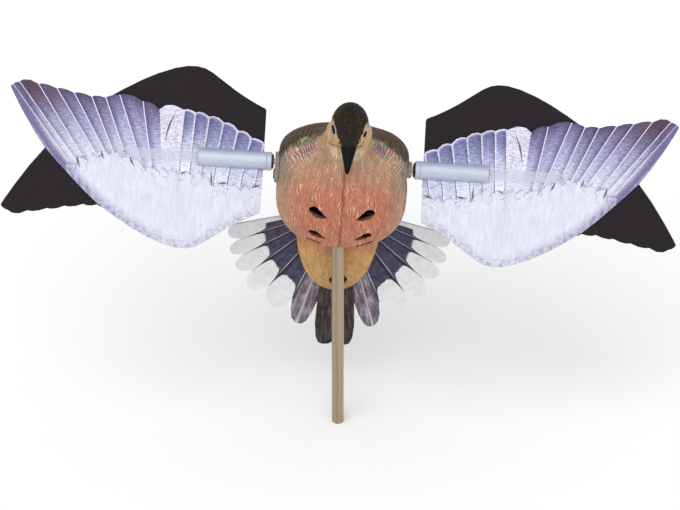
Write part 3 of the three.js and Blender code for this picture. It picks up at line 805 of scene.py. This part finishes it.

# Satin lacquer over drawn steel: fine lines up the tube, and broad soft bands of painted
# highlight between them
pole_finish, shader, add = material("satin_champagne_lacquered_steel", Metallic=0.55, Roughness=0.42)
lines = grain(add, 0.9, detail=4, rough=0.6, stretch=(1, 1, 0.03))
painted_highlight_bands = grain(add, 3.5, detail=1, stretch=(1, 1, 0.004))
colour = add("Mix", (lines, "#85725e", "#a8947c"), data_type="RGBA")
wire(shader, {
    "Base Color": coat(add, colour, "#c6b59c", (painted_highlight_bands, 0.35, 0.65, 0, 0.5, "LINEAR")),
    "Roughness": add("MapRange", (lines, 0.3, 0.7, 0.36, 0.5)),
    "Normal": add("Bump", {"Strength": 0.15, "Distance": 0.1 * MM, "Height": lines}),
})

radius, height = POLE["radius"], (pole_high.z - pole_low.z) / MM
pole_form = spun_form(
    [(0, 0), (radius, 0), (radius, height - 0.6), (radius - 0.6, height), (0, height)], 96, closed=False
)
dress(piece("pole_tube", pole_form, to_metres), pole_finish, "bird", "pole", 40)


# Oval plates of the same foamed plastic are set into both flanks and hold the bearings.
# The left one carries a small black oblong button.

# Painted foam: a grey-brown skin with a fine pitted grain
pad_finish = speckled(
    "painted_foamed_plastic_plate", 3, "#6d6157", "#a89b90", (0.4, 0.3), detail=5, rough=0.65, Roughness=0.6
)
# Moulded ABS: black with a soft shine, as on the plugs in the wing tubes
black_finish = speckled("moulded_black_abs", 0.6, "#111013", "#242327", (0.25, 0.1), Roughness=0.45)
for node, finish in (
    ("side_pad_left", pad_finish), ("side_pad_right", pad_finish), ("pad_button", black_finish),
):
    mesh = frame["nodes"][node].data
    mesh.materials.clear()
    mesh.materials.append(finish)


# The tail is one flat printed plastic sheet, cut out as fourteen feathers that fan from a
# hub inside the body. The two middle feathers are dark, the outer ones tipped with white.
FAN_HUB = (0.8, 22, -49)
FAN_TURN = 1.2
FAN_ANGLES = [4.3, 14.6, 28.6, 41.6, 52.6, 61.8, 71]
FAN_LENGTHS = [133, 117, 110, 106, 101, 97, 92]
FAN_EDGE = 76.2
PRINT_CELL = 2.5
fan_lines = [0] + [(a + b) / 2 for a, b in zip(FAN_ANGLES, FAN_ANGLES[1:])] + [FAN_EDGE]
# How wide a feather's patch of the print is, and how far off the left half's patches lie
PATCH = 12
OTHER_HALF = 300


def sheet_copy(node, place):
    """A copy of a CAD sheet in millimetres in the frame of the place, with whole faces."""
    form = bmesh.new()
    form.from_mesh(frame["nodes"][node].data)
    bmesh.ops.remove_doubles(form, verts=form.verts, dist=1e-6)
    form.transform(place.inverted())
    bmesh.ops.dissolve_limit(form, angle_limit=math.radians(2), verts=form.verts, edges=form.edges)
    return form


def grid_cut(form):
    """Cuts a sheet that lies in the XZ plane into cells, so that values can follow it."""
    for axis in (0, 2):
        spots = [v.co[axis] for v in form.verts]
        for at in np.arange(math.ceil(min(spots) / PRINT_CELL) * PRINT_CELL, max(spots), PRINT_CELL):
            normal = Vector((axis == 0, 0, axis == 2))
            bmesh.ops.bisect_plane(
                form, geom=form.verts[:] + form.edges[:] + form.faces[:], dist=1e-5,
                plane_co=normal * at, plane_no=normal,
            )
    bmesh.ops.triangulate(form, faces=[f for f in form.faces if len(f.verts) > 4])


fan_form = sheet_copy("tail_fan", bird_place)
grid_cut(fan_form)
tail_fan = piece("tail_feathers", fan_form)
places = bird_coordinates(tail_fan) - np.array(FAN_HUB)
turn = math.radians(FAN_TURN)
across = places[:, 0] * math.cos(turn) + places[:, 2] * math.sin(turn)
down = places[:, 0] * math.sin(turn) - places[:, 2] * math.cos(turn)
away = np.hypot(across, down)
spread = np.degrees(np.arctan2(np.abs(across), down))
feather = np.interp(spread, fan_lines, range(len(fan_lines)))
values_on(tail_fan, {
    "feather": feather,
    "to_tip": np.interp(feather, np.arange(len(FAN_LENGTHS)) + 0.5, FAN_LENGTHS) - away,
    "reach": away,
    "print_place": np.stack([feather * PATCH + OTHER_HALF * (across < 0), away, 0 * away], 1),
})

# Photographic print on matt polypropylene, which shows each feather's barbs and quill
fan_print, shader, add = material("printed_polypropylene_tail", Roughness=0.5, Specular_IOR_Level=0.2)
spot = add("Attribute", attribute_name="print_place").outputs["Vector"]
number, to_tip, reach = (
    add("Attribute", attribute_name=name).outputs["Fac"] for name in ("feather", "to_tip", "reach")
)
part_of = add("Math", (number,), operation="FRACT")
from_middle = add("Math", (part_of, 0.5), operation="SUBTRACT")
from_middle = add("Math", (from_middle,), operation="ABSOLUTE")
slanted = add("Math", (from_middle, 16, reach), operation="MULTIPLY_ADD")
barbs_place = add("CombineXYZ", (slanted, add("Math", (number, 3), operation="MULTIPLY")))
long_place = add("Mapping", {"Vector": spot, "Scale": (1, 0.09, 1)})
patterns = []
for place, scale, detail, rough, low, high in (
    (barbs_place, 0.7, 4, 0.65, 0.34, 0.66),
    (spot, 0.16, 4, 0.6, 0.34, 0.66),
    (long_place, 0.7, 3, 0.6, 0.45, 0.68),
):
    noise = add("TexNoise", {"Vector": place, "Scale": scale, "Detail": detail, "Roughness": rough})
    patterns.append(add("MapRange", (noise, low, high, 0, 1)))
barbs, cloud, long_streaks = patterns

# Outer feathers: slate with slanting barbs, a pale line and a dark one where each lies over
# the next, then a white tip with a dark spike between it and its neighbour
slate = add("Mix", (barbs, "#252035", "#454059"), data_type="RGBA")
slate = coat(add, slate, "#6b6782", cloud, 0.45)
slate = coat(add, slate, "#17141c", (from_middle, 0, 0.05, 0.4, 0, "LINEAR"))
slate = coat(add, slate, "#15121b", (part_of, 0.72, 0.97, 0, 0.85))
slate = coat(add, slate, "#bcbccb", (part_of, 0.03, 0.08, 0.8, 0), (to_tip, 22, 42, 0, 1))
white = add("Mix", (cloud, "#d9dae1", "#e9e7e6"), data_type="RGBA")
white = coat(add, white, "#9da0b2", (from_middle, 0.455, 0.49, 0, 0.7))
spike = add("Math", (from_middle, 2), operation="MULTIPLY")
spike = add("Math", (spike, 7), operation="POWER")
edge_at = add("Math", (spike, -16, 32), operation="MULTIPLY_ADD")
edge_at = add("Math", (barbs, 1.6, edge_at), operation="MULTIPLY_ADD")
edge_at = add("Math", (edge_at, to_tip), operation="SUBTRACT")
colour = coat(add, slate, white, (edge_at, 1, 2.4, 0, 1))

# Inner pair: brown-violet with a pale quill; middle pair: nearly black with pale streaks
brown = add("Mix", (barbs, "#54464f", "#847883"), data_type="RGBA")
brown = coat(add, brown, "#c4bac6", long_streaks, 0.8)
brown = coat(add, brown, "#4a3d49", cloud, 0.45)
brown = coat(add, brown, "#2e2630", (from_middle, 0.36, 0.49, 0, 0.8, "LINEAR"))
brown = coat(add, brown, "#dbd5e0", (from_middle, 0.02, 0.06, 0.5, 0, "LINEAR"))
dark = add("Mix", (barbs, "#181215", "#3a3032"), data_type="RGBA")
dark = coat(add, dark, "#74655f", long_streaks, 0.5)
for inner_pairs, tint in ((2, brown), (1, dark)):
    colour = coat(add, colour, tint, add("Math", (number, inner_pairs), operation="LESS_THAN"))
colour = coat(add, colour, white, (number, 6.62, 6.68, 0, 1, "LINEAR"))
wire(shader, {"Base Color": colour})
dress(tail_fan, fan_print, "bird", "tail_fan")


# Each wing is two thin plastic sheets of the same cut, back to back. Their outer faces
# carry a photographic print of feathers and the faces between them are plain black.
WING_TILT = -42
wings_place = bird_place @ turned(WING_TILT, "X")
# Dividing line of each feather from the wing tip to the root: its top and its bottom, as
# distance out along the shaft and height above it
FEATHER_LINES = [
    ((250, 46), (203, -12)), ((246.5, 48.8), (200.5, -7.5)), ((232, 48.2), (194, -7)),
    ((218, 45.6), (183, -5)), ((205, 43), (178.5, -0.5)), ((191.5, 40.8), (171.5, -2.6)),
    ((181, 40.6), (163.5, -2)), ((171, 43.6), (150, -9)), ((153, 39.6), (143, -11.5)),
    ((140, 34.2), (135, -13)), ((120.5, 35), (121.9, -13.9)), ((112.5, 33.6), (114.5, -14)),
    ((102, 31), (105.2, -12.8)), ((91, 27.2), (97.1, -21.6)), ((80, 21.6), (86.4, -19.5)),
    ((69.5, 16.6), (76.4, -20.1)), ((60, 12), (66, -22)),
]
# The lines run upright below this height, and feathers are this wide past the outer ones
LINES_END = -16
END_WIDTH = 9
# The short inner feathers start at this one, which is white
FIRST_SHORT = 9
# Where the small coverts end and the long feathers begin
COVERT_EDGE = [
    (55, -21), (97, -21), (106, -13), (122, -14), (141, -11.3), (150, -9.8), (157, -4),
    (164, -2), (178, -1), (186, -5), (195, -7), (203, -12), (215, -20), (240, -40),
]
# Outline points above this line are feather tips, those below it the leading edge
PARTING = [(55, 0), (200, 20), (252, 44)]
RIVET_AT = 163.5


def distance_to(points, chain):
    """Distance of points in a plane to a chain of straight pieces."""
    nearest = np.full(len(points), 1e9)
    for a, b in zip(chain[:-1], chain[1:]):
        span = b - a
        share = np.clip((points - a) @ span / max(span @ span, 1e-9), 0, 1)
        nearest = np.minimum(nearest, np.linalg.norm(points - a - share[:, None] * span, axis=1))
    return nearest


def sheet_values(points, tips, leading):
    """What the print needs to know at each point of a sheet, in millimetres."""
    out, up = points.T
    height = np.maximum(up, LINES_END)
    lines = np.array([
        top[0] + (bottom[0] - top[0]) * (top[1] - height) / (top[1] - bottom[1])
        for top, bottom in FEATHER_LINES
    ])
    number = np.where(out > lines[0], -(out - lines[0]) / END_WIDTH, 0.0)
    for i, (outer, inner) in enumerate(zip(lines, lines[1:])):
        number = np.where((out <= outer) & (out > inner), i + (outer - out) / (outer - inner), number)
    number = np.where(out <= lines[-1], len(lines) - 1 + (lines[-1] - out) / END_WIDTH, number)
    widths = np.diff(-lines, axis=0)
    column = np.clip(number - 0.5, 0, len(widths) - 1.001)
    low = np.floor(column).astype(int)
    rows = np.arange(len(points))
    return {
        "feather": number,
        "feather_width": widths[low, rows] + (column - low) * (widths[low + 1, rows] - widths[low, rows]),
        "to_tip": distance_to(points, tips),
        "to_front": distance_to(points, leading),
        "above_coverts": up - np.interp(out, *np.array(COVERT_EDGE).T),
        "print_place": np.stack([out, up, 0 * out], 1),
    }


front_form = sheet_copy("wing_sheet_front_right", wings_place)
rim = sorted(
    (v.co.x, v.co.z) for v in front_form.verts if v.co.y < -0.5 and math.hypot(v.co.x - RIVET_AT, v.co.z) > 3
)
above_line = [up > np.interp(out, *np.array(PARTING).T) for out, up in rim]
tips = np.array([point for point, above in zip(rim, above_line) if above])
leading = np.array([point for point, above in zip(rim, above_line) if not above])
grid_cut(front_form)

# Photographic print on matt polypropylene: violet-grey feathers that fade to white inward
print_finish, shader, add = material("printed_polypropylene_wing", Roughness=0.5, Specular_IOR_Level=0.25)
spot = add("Attribute", attribute_name="print_place").outputs["Vector"]
number, width, to_tip, to_front, above = (
    add("Attribute", attribute_name=name).outputs["Fac"]
    for name in ("feather", "feather_width", "to_tip", "to_front", "above_coverts")
)
out_along = add("SeparateXYZ", (spot,)).outputs["X"]
part_of = add("Math", (number,), operation="FRACT")
whole = add("Math", (number,), operation="FLOOR")
after_line = add("Math", (part_of, width), operation="MULTIPLY")
before_line = add("Math", (width, after_line), operation="SUBTRACT")
barbs_place = add("Mapping", {"Vector": spot, "Rotation": (0, 0, 0.6), "Scale": (0.5, 1.6, 1)})
down_place = add("Mapping", {"Vector": spot, "Scale": (1, 0.22, 1)})
barbs, cloud, down, loose, violet = (
    add("TexNoise", {"Vector": place, "Scale": scale, "Detail": detail, "Roughness": rough})
    for place, scale, detail, rough in (
        (barbs_place, 0.55, 5, 0.65), (spot, 0.09, 4, 0.6), (down_place, 0.45, 5, 0.6), (spot, 0.2, 1.5, 0.5),
        (spot, 0.3, 4, 0.7),
    )
)

# Colours from a feather's tip inward, for the long outer feathers and the short inner ones
ramps = []
for over, stops in (
    (60, [(0, "#564b70"), (0.16, "#8780a8"), (0.42, "#aeaed2"), (0.7, "#d2d4e9"), (1, "#e8e9f4")]),
    (45, [(0, "#aaa2c6"), (0.06, "#787aaa"), (0.28, "#9296c0"), (0.5, "#bcc0de"), (1, "#e0e3f1")]),
):
    ramp = add("ValToRGB", (add("Math", (to_tip, 1 / over), operation="MULTIPLY"),))
    while len(ramp.color_ramp.elements) < len(stops):
        ramp.color_ramp.elements.new(0.5)
    for element, (at, tint) in zip(ramp.color_ramp.elements, stops):
        element.position = at
        element.color = linear(tint)
    ramps.append(ramp)

# Long outer feathers: plum to violet at the tips, paler toward the root, each darker just
# behind the pale line of the feather before it
long_colour = coat(add, ramps[0], "#5c4457", (out_along, 188, 240, 0, 1), (to_tip, 4, 30, 1, 0))
for tint, value, low, high, fade in (
    ("#4b4472", after_line, 0.4, 6.5, (to_tip, 4, 45, 0.95, 0.35, "LINEAR")),
    ("#5d5282", to_front, 2.5, 8, (out_along, 170, 210, 0, 0.85, "LINEAR")),
):
    long_colour = coat(add, long_colour, tint, (value, low, high, 1, 0), fade)

# Inner feathers: a blue-violet blotch inside a white margin, dark thin lines between them
hem = add("Math", (to_tip, before_line, 3), operation="SMOOTH_MIN")
hem = add("Math", (barbs, 1.6, hem), operation="MULTIPLY_ADD")
short_colour = coat(add, ramps[1], "#494a7e", (after_line, 0.6, 6, 0.5, 0), (to_tip, 14, 30, 1, 0, "LINEAR"))
short_colour = coat(add, short_colour, "#e9e4f2", (hem, 1.4, 2.7, 0.75, 0))
short_colour = coat(add, short_colour, "#4b4664", (after_line, 0.35, 0.9, 0.85, 0), (to_tip, 3, 9, 0, 1))
is_short = add("MapRange", (number, FIRST_SHORT - 0.02, FIRST_SHORT + 0.02, 0, 1))
colour = coat(add, long_colour, short_colour, is_short)
colour = coat(add, colour, "#dcdcee", add("Math", (whole, FIRST_SHORT, 0.5), operation="COMPARE"))

own_shade = add("TexWhiteNoise", {"W": whole}, noise_dimensions="1D")
tone = add("MapRange", (barbs, 0.36, 0.64, 0.56, 1.26))
for varied, low, high in ((own_shade, 0.9, 1.06), (cloud, 0.84, 1.14)):
    tone = add("Math", (tone, add("MapRange", (varied, 0.25, 0.75, low, high))), operation="MULTIPLY")
tone = add("Mix", (add("MapRange", (to_tip, 20, 55, 1, 0.35)), 1, tone))
colour = add("Mix", (1, colour, tone), data_type="RGBA", blend_type="MULTIPLY")
not_short = add("Math", (1, is_short), operation="SUBTRACT")
colour = coat(add, colour, "#ebe5f1", (after_line, 0.5, 1, 0.9, 0), not_short)

# Coverts: small soft near-white feathers over the roots of the long ones, with violet shade
# along the leading edge
scale_place = add("Mapping", {"Vector": spot, "Scale": (1, 0.6, 1)})
scales = add("TexVoronoi", {"Vector": scale_place, "Scale": 0.14}, feature="SMOOTH_F1")
bumps = add("Math", (out_along, 0.36), operation="MULTIPLY")
bumps = add("Math", (loose, 7, bumps), operation="MULTIPLY_ADD")
for operation in ("SINE", "ABSOLUTE"):
    bumps = add("Math", (bumps,), operation=operation)
ragged = above
for pattern, reach in ((bumps, -4), (loose, 9)):
    ragged = add("Math", (pattern, reach, ragged), operation="MULTIPLY_ADD")
covert = coat(add, "#cccfdf", "#e1e3ec", (down, 0.3, 0.7, 0, 1, "LINEAR"))
covert = coat(add, covert, "#b9bcd6", (scales, 0.3, 0.75, 0, 0.28, "LINEAR"))
covert = coat(add, covert, "#8f90b4", (bumps, 0.05, 0.3, 0.55, 0), (above, -16, -3, 0, 1, "LINEAR"))
colour = coat(add, colour, "#77769f", (ragged, 1.8, 4.4, 0.6, 0))
colour = coat(add, colour, covert, (ragged, 1.2, 2, 1, 0))
violet = [add("MapRange", each) for each in ((violet, 0.45, 0.66, 0.1, 0.7), (out_along, 120, 200, 0, 0.45))]
violet = add("Math", violet, operation="ADD", use_clamp=True)
colour = coat(add, colour, "#75709f", (to_front, 0.5, 10, 1, 0), violet)

# Short dark gaps between feathers, and one long one down the white feather: each is given by
# its place out and up, how far it leans, its length and how much it bends
for out_at, up_at, lean, long, bend in (
    (132, 21.5, 15, 25, 0.008), (197.5, -9, -17, 10, 0.01), (158, -6.5, -25, 8, 0.02),
    (97.8, -16.5, -5, 12, 0.004), (89, -19, 80, 8, 0.02), (119, -13, 60, 5, 0.03),
    (64.5, -20, 70, 7, 0.02), (180, -3, -20, 7, 0.02),
):
    middle = {"Vector": spot, "Location": (out_at, up_at, 0), "Rotation": (0, 0, math.radians(lean))}
    from_gap = add("SeparateXYZ", (add("Mapping", middle, vector_type="TEXTURE"),))
    along = add("Math", (from_gap.outputs["Y"],), operation="ABSOLUTE")
    bent = add("Math", (along, along), operation="MULTIPLY")
    bent = add("Math", (bent, bend, from_gap.outputs["X"]), operation="MULTIPLY_ADD")
    bent = add("Math", (bent,), operation="ABSOLUTE")
    taper = add("MapRange", (along, 0, long / 2, 0.8, 0.1))
    gap = add("Math", (taper, bent), operation="SUBTRACT")
    between_ends = add("Math", (along, long / 2), operation="LESS_THAN")
    colour = coat(add, colour, "#35304e", (gap, -0.2, 0.15, 0, 0.85), between_ends)
wire(shader, {"Base Color": colour})

# Plain black faces and cut edges, with the fine even grain of calendered sheet
black_sheet = speckled(
    "black_polypropylene_sheet", 1.2, "#110d10", "#2a242a", (0.4, 0.2), rough=0.7, Roughness=0.65,
    Specular_IOR_Level=0.15,
)

values = sheet_values(np.array([(v.co.x, v.co.z) for v in front_form.verts]), tips, leading)
for face in front_form.faces:
    face.material_index = 0 if face.normal.y < -0.5 else 1
for label, side in (("left", -1), ("right", 1)):
    for layer, flip in (("front", 0), ("back", 180)):
        form = front_form.copy()
        form.transform(Matrix.Diagonal((side, 1, 1, 1)) @ turned(flip, "X"))
        if side < 0:
            bmesh.ops.reverse_faces(form, faces=form.faces)
        sheet = piece(f"printed_sheet_{layer}_{label}", form, wings_place)
        values_on(sheet, values)
        for finish in (print_finish, black_sheet):
            sheet.data.materials.append(finish)
        dress(sheet, None, "wings", f"wing_sheet_{layer}_{label}")
front_form.free()


# The shaft is a bright steel rod, and a tube of brushed aluminium on a black plug carries
# each wing. The tubes are slit along both edges, so that the sheets slide into them.
TUBE = {"inner": 53.6, "outer": 108.6, "radius": 7, "wall": 1.2, "solid": 5.4, "slit": 2.3, "groove": 3.6}
HUB = {"inner": 52.2, "outer": 58.6, "nose": 5, "clearance": 0.3}
SHAFT = {"radius": 2, "half": 58, "bevel": 0.3}

# Brushed anodised aluminium: fine lines along the tube and a broad soft sheen
brushed, shader, add = material("brushed_silver_anodised_aluminium", Metallic=1)
lines = grain(add, 0.6, detail=4, rough=0.6, stretch=(0.06, 1, 1))
colour = add("Mix", (lines, "#a6afc4", "#e6eaf3"), data_type="RGBA")
wire(shader, {
    "Base Color": coat(add, colour, "#b4bccf", (grain(add, 12), 0.4, 0.7, 0, 0.4, "LINEAR")),
    "Roughness": add("MapRange", (lines, 0.3, 0.7, 0.58, 0.72)),
    "Normal": add("Bump", {"Strength": 0.25, "Distance": 0.1 * MM, "Height": lines}),
})

# Ground steel: a bright even grey with small sharp glints
steel, shader, add = material("ground_steel_rod", Metallic=1)
ground = grain(add, 0.4)
wire(shader, {
    "Base Color": add("Mix", (ground, "#a3a5a8", "#c4c6c9"), data_type="RGBA"),
    "Roughness": add("MapRange", (ground, 0.3, 0.7, 0.25, 0.4)),
})

radius, half, bevel = SHAFT["radius"], SHAFT["half"], SHAFT["bevel"]
shaft_form = spun_form(
    [
        (0, -half), (radius - bevel, -half), (radius, bevel - half), (radius, half - bevel),
        (radius - bevel, half), (0, half),
    ],
    40, closed=False,
)
shaft_form.transform(turned(90, "Y"))
dress(piece("shaft_rod", shaft_form, wings_place), steel, "wings", "wing_shaft", 28)
for label, side in (("left", -1), ("right", 1)):
    radius, inner, outer = TUBE["radius"], TUBE["inner"], TUBE["outer"]
    bore, ring_at = radius - TUBE["wall"], inner + TUBE["groove"]
    tube_form = spun_form(
        [
            (bore, inner), (radius - 0.4, inner), (radius, inner + 0.4), (radius, ring_at),
            (radius - 0.25, ring_at + 0.3), (radius, ring_at + 0.6), (radius, outer - 0.4),
            (radius - 0.4, outer), (bore, outer),
        ],
        72,
    )
    tube_form.transform(turned(side * 90, "Y"))
    tube = piece("tube_" + label, tube_form, wings_place)
    tube.data.materials.append(brushed)
    slit_length = outer - inner - TUBE["solid"] + 4
    slit_place = moved(side * (inner + TUBE["solid"] + slit_length / 2), 0, 0)
    cut(tube, box_form((slit_length, TUBE["slit"], 3 * radius), slit_place), place=wings_place)
    dress(tube, None, "wings", "wing_tube_" + label, 28)

    hole, plug = SHAFT["radius"] + HUB["clearance"], bore - HUB["clearance"]
    nose, inner, outer = HUB["nose"], HUB["inner"], HUB["outer"]
    hub_form = spun_form(
        [
            (hole, inner), (nose - 0.3, inner), (nose, inner + 0.2), (plug, inner + 0.7), (plug, outer),
            (hole, outer),
        ],
        56,
    )
    hub_form.transform(turned(side * 90, "Y"))
    hub = piece("hub_" + label, hub_form, wings_place)
    dress(hub, black_finish, "wings", "wing_hub_" + label, 28)


# A clear acrylic strip stiffens the sheet along the line of the tube, held near its outer
# end by a small hollow aluminium eyelet
EYELET = {"head": 1.7, "shank": 0.8, "hole": 0.42, "height": 0.6, "play": 0.3}
# How far a wing's two sheets, with their play, reach to the front and to the back
SHEET_PACK = 1.15
STRIP_THICKNESS = 1

# Clear acrylic: nearly invisible, with a painted highlight along each edge and a faint haze
clear, shader, add = material("clear_acrylic_strip", Roughness=0.12, IOR=1.49, Alpha=0.3)
across_strip = add("Attribute", attribute_name="across").outputs["Fac"]
haze = grain(add, 2, stretch=(0.1, 1, 1))
wire(shader, {
    "Base Color": coat(add, "#dfe1f0", "#ffffff", (across_strip, 0.82, 0.93, 0, 1, "LINEAR")),
    "Normal": add("Bump", {"Strength": 0.12, "Distance": 0.2 * MM, "Height": haze}),
})

for label, side in (("left", -1), ("right", 1)):
    strip_form = sheet_copy("spar_strip_" + label, wings_place)
    bmesh.ops.recalc_face_normals(strip_form, faces=strip_form.faces)
    bmesh.ops.bisect_plane(
        strip_form, geom=strip_form.verts[:] + strip_form.edges[:] + strip_form.faces[:],
        plane_co=(0, 0, 0), plane_no=(0, 0, 1),
    )
    half_height = max(v.co.z for v in strip_form.verts)
    values = {"across": [abs(v.co.z) / half_height for v in strip_form.verts]}
    strip = piece("strip_" + label, strip_form, wings_place)
    values_on(strip, values)
    soften = strip.modifiers.new("soft_edges", "BEVEL")
    soften.width = 0.2 * MM
    soften.segments = 2
    soften.limit_method = "ANGLE"
    dress(strip, clear, "wings", "spar_strip_" + label)

    head, shank, hole, back = EYELET["head"], EYELET["shank"], EYELET["hole"], -SHEET_PACK
    front = SHEET_PACK + STRIP_THICKNESS + EYELET["play"]
    rivet_form = spun_form(
        [
            (hole, back), (hole, front + 0.1), (shank, front + EYELET["height"]),
            (1.15, front + EYELET["height"]), (head, front + 0.25), (head, front), (shank, front),
            (shank, back), (head, back), (head * 0.8, back - 0.6), (shank, back - 0.6),
        ],
        32,
    )
    rivet_form.transform(moved(side * RIVET_AT, 0, 0) @ turned(90, "X"))
    rivet = piece("eyelet_" + label, rivet_form, wings_place)
    dress(rivet, brushed, "wings", "spar_rivet_" + label, 40)


# The camera looks at the bird from in front and a little above, from about 1.2 m away
CAMERA_PLACE = Vector((0.0132, -1.019, 0.828))
CAMERA_TARGET = Vector((0.0019, -0.0134, 0.170))
LENS = 84.7

camera = bpy.data.objects.new("camera", bpy.data.cameras.new("camera"))
camera.data.lens = LENS
camera.data.sensor_width = 36
camera.location = CAMERA_PLACE
camera.rotation_mode = "QUATERNION"
camera.rotation_quaternion = (CAMERA_TARGET - CAMERA_PLACE).to_track_quat("-Z", "Y")
bpy.context.scene.collection.objects.link(camera)
bpy.context.scene.camera = camera

# Studio: a pale floor, a white surround, a large soft light from above and one from in front
SURROUND = 0.69
FLOOR_RADIUS = 6000
FLOOR_CLOUD = 2000 / 3
floor_form = bmesh.new()
bmesh.ops.create_circle(floor_form, cap_ends=True, segments=96, radius=FLOOR_RADIUS)
floor = piece("studio_floor", floor_form, to_metres)
# Painted board: an even near-white that takes soft shadows
floor_finish = speckled("pale_studio_floor", FLOOR_CLOUD, "#fbfbfb", "#ffffff", detail=2, Roughness=0.9)
floor.data.materials.append(floor_finish)

for name, strength, spread, toward in (
    ("soft_key", 1.25, 55, (0.25, 0.62, -1.0)),
    ("soft_front", 0.35, 70, (-0.5, 1.0, -0.25)),
):
    lamp = bpy.data.lights.new(name, "SUN")
    lamp.energy = strength
    lamp.angle = math.radians(spread)
    light = bpy.data.objects.new(name, lamp)
    light.rotation_mode = "QUATERNION"
    light.rotation_quaternion = Vector(toward).to_track_quat("-Z", "Y")
    bpy.context.scene.collection.objects.link(light)
world = bpy.data.worlds.new("white_surround")
world.use_nodes = True
wire(world.node_tree.nodes["Background"], {"Color": "#ffffff", "Strength": SURROUND})
bpy.context.scene.world = world
bpy.context.scene.view_settings.view_transform = "Standard"
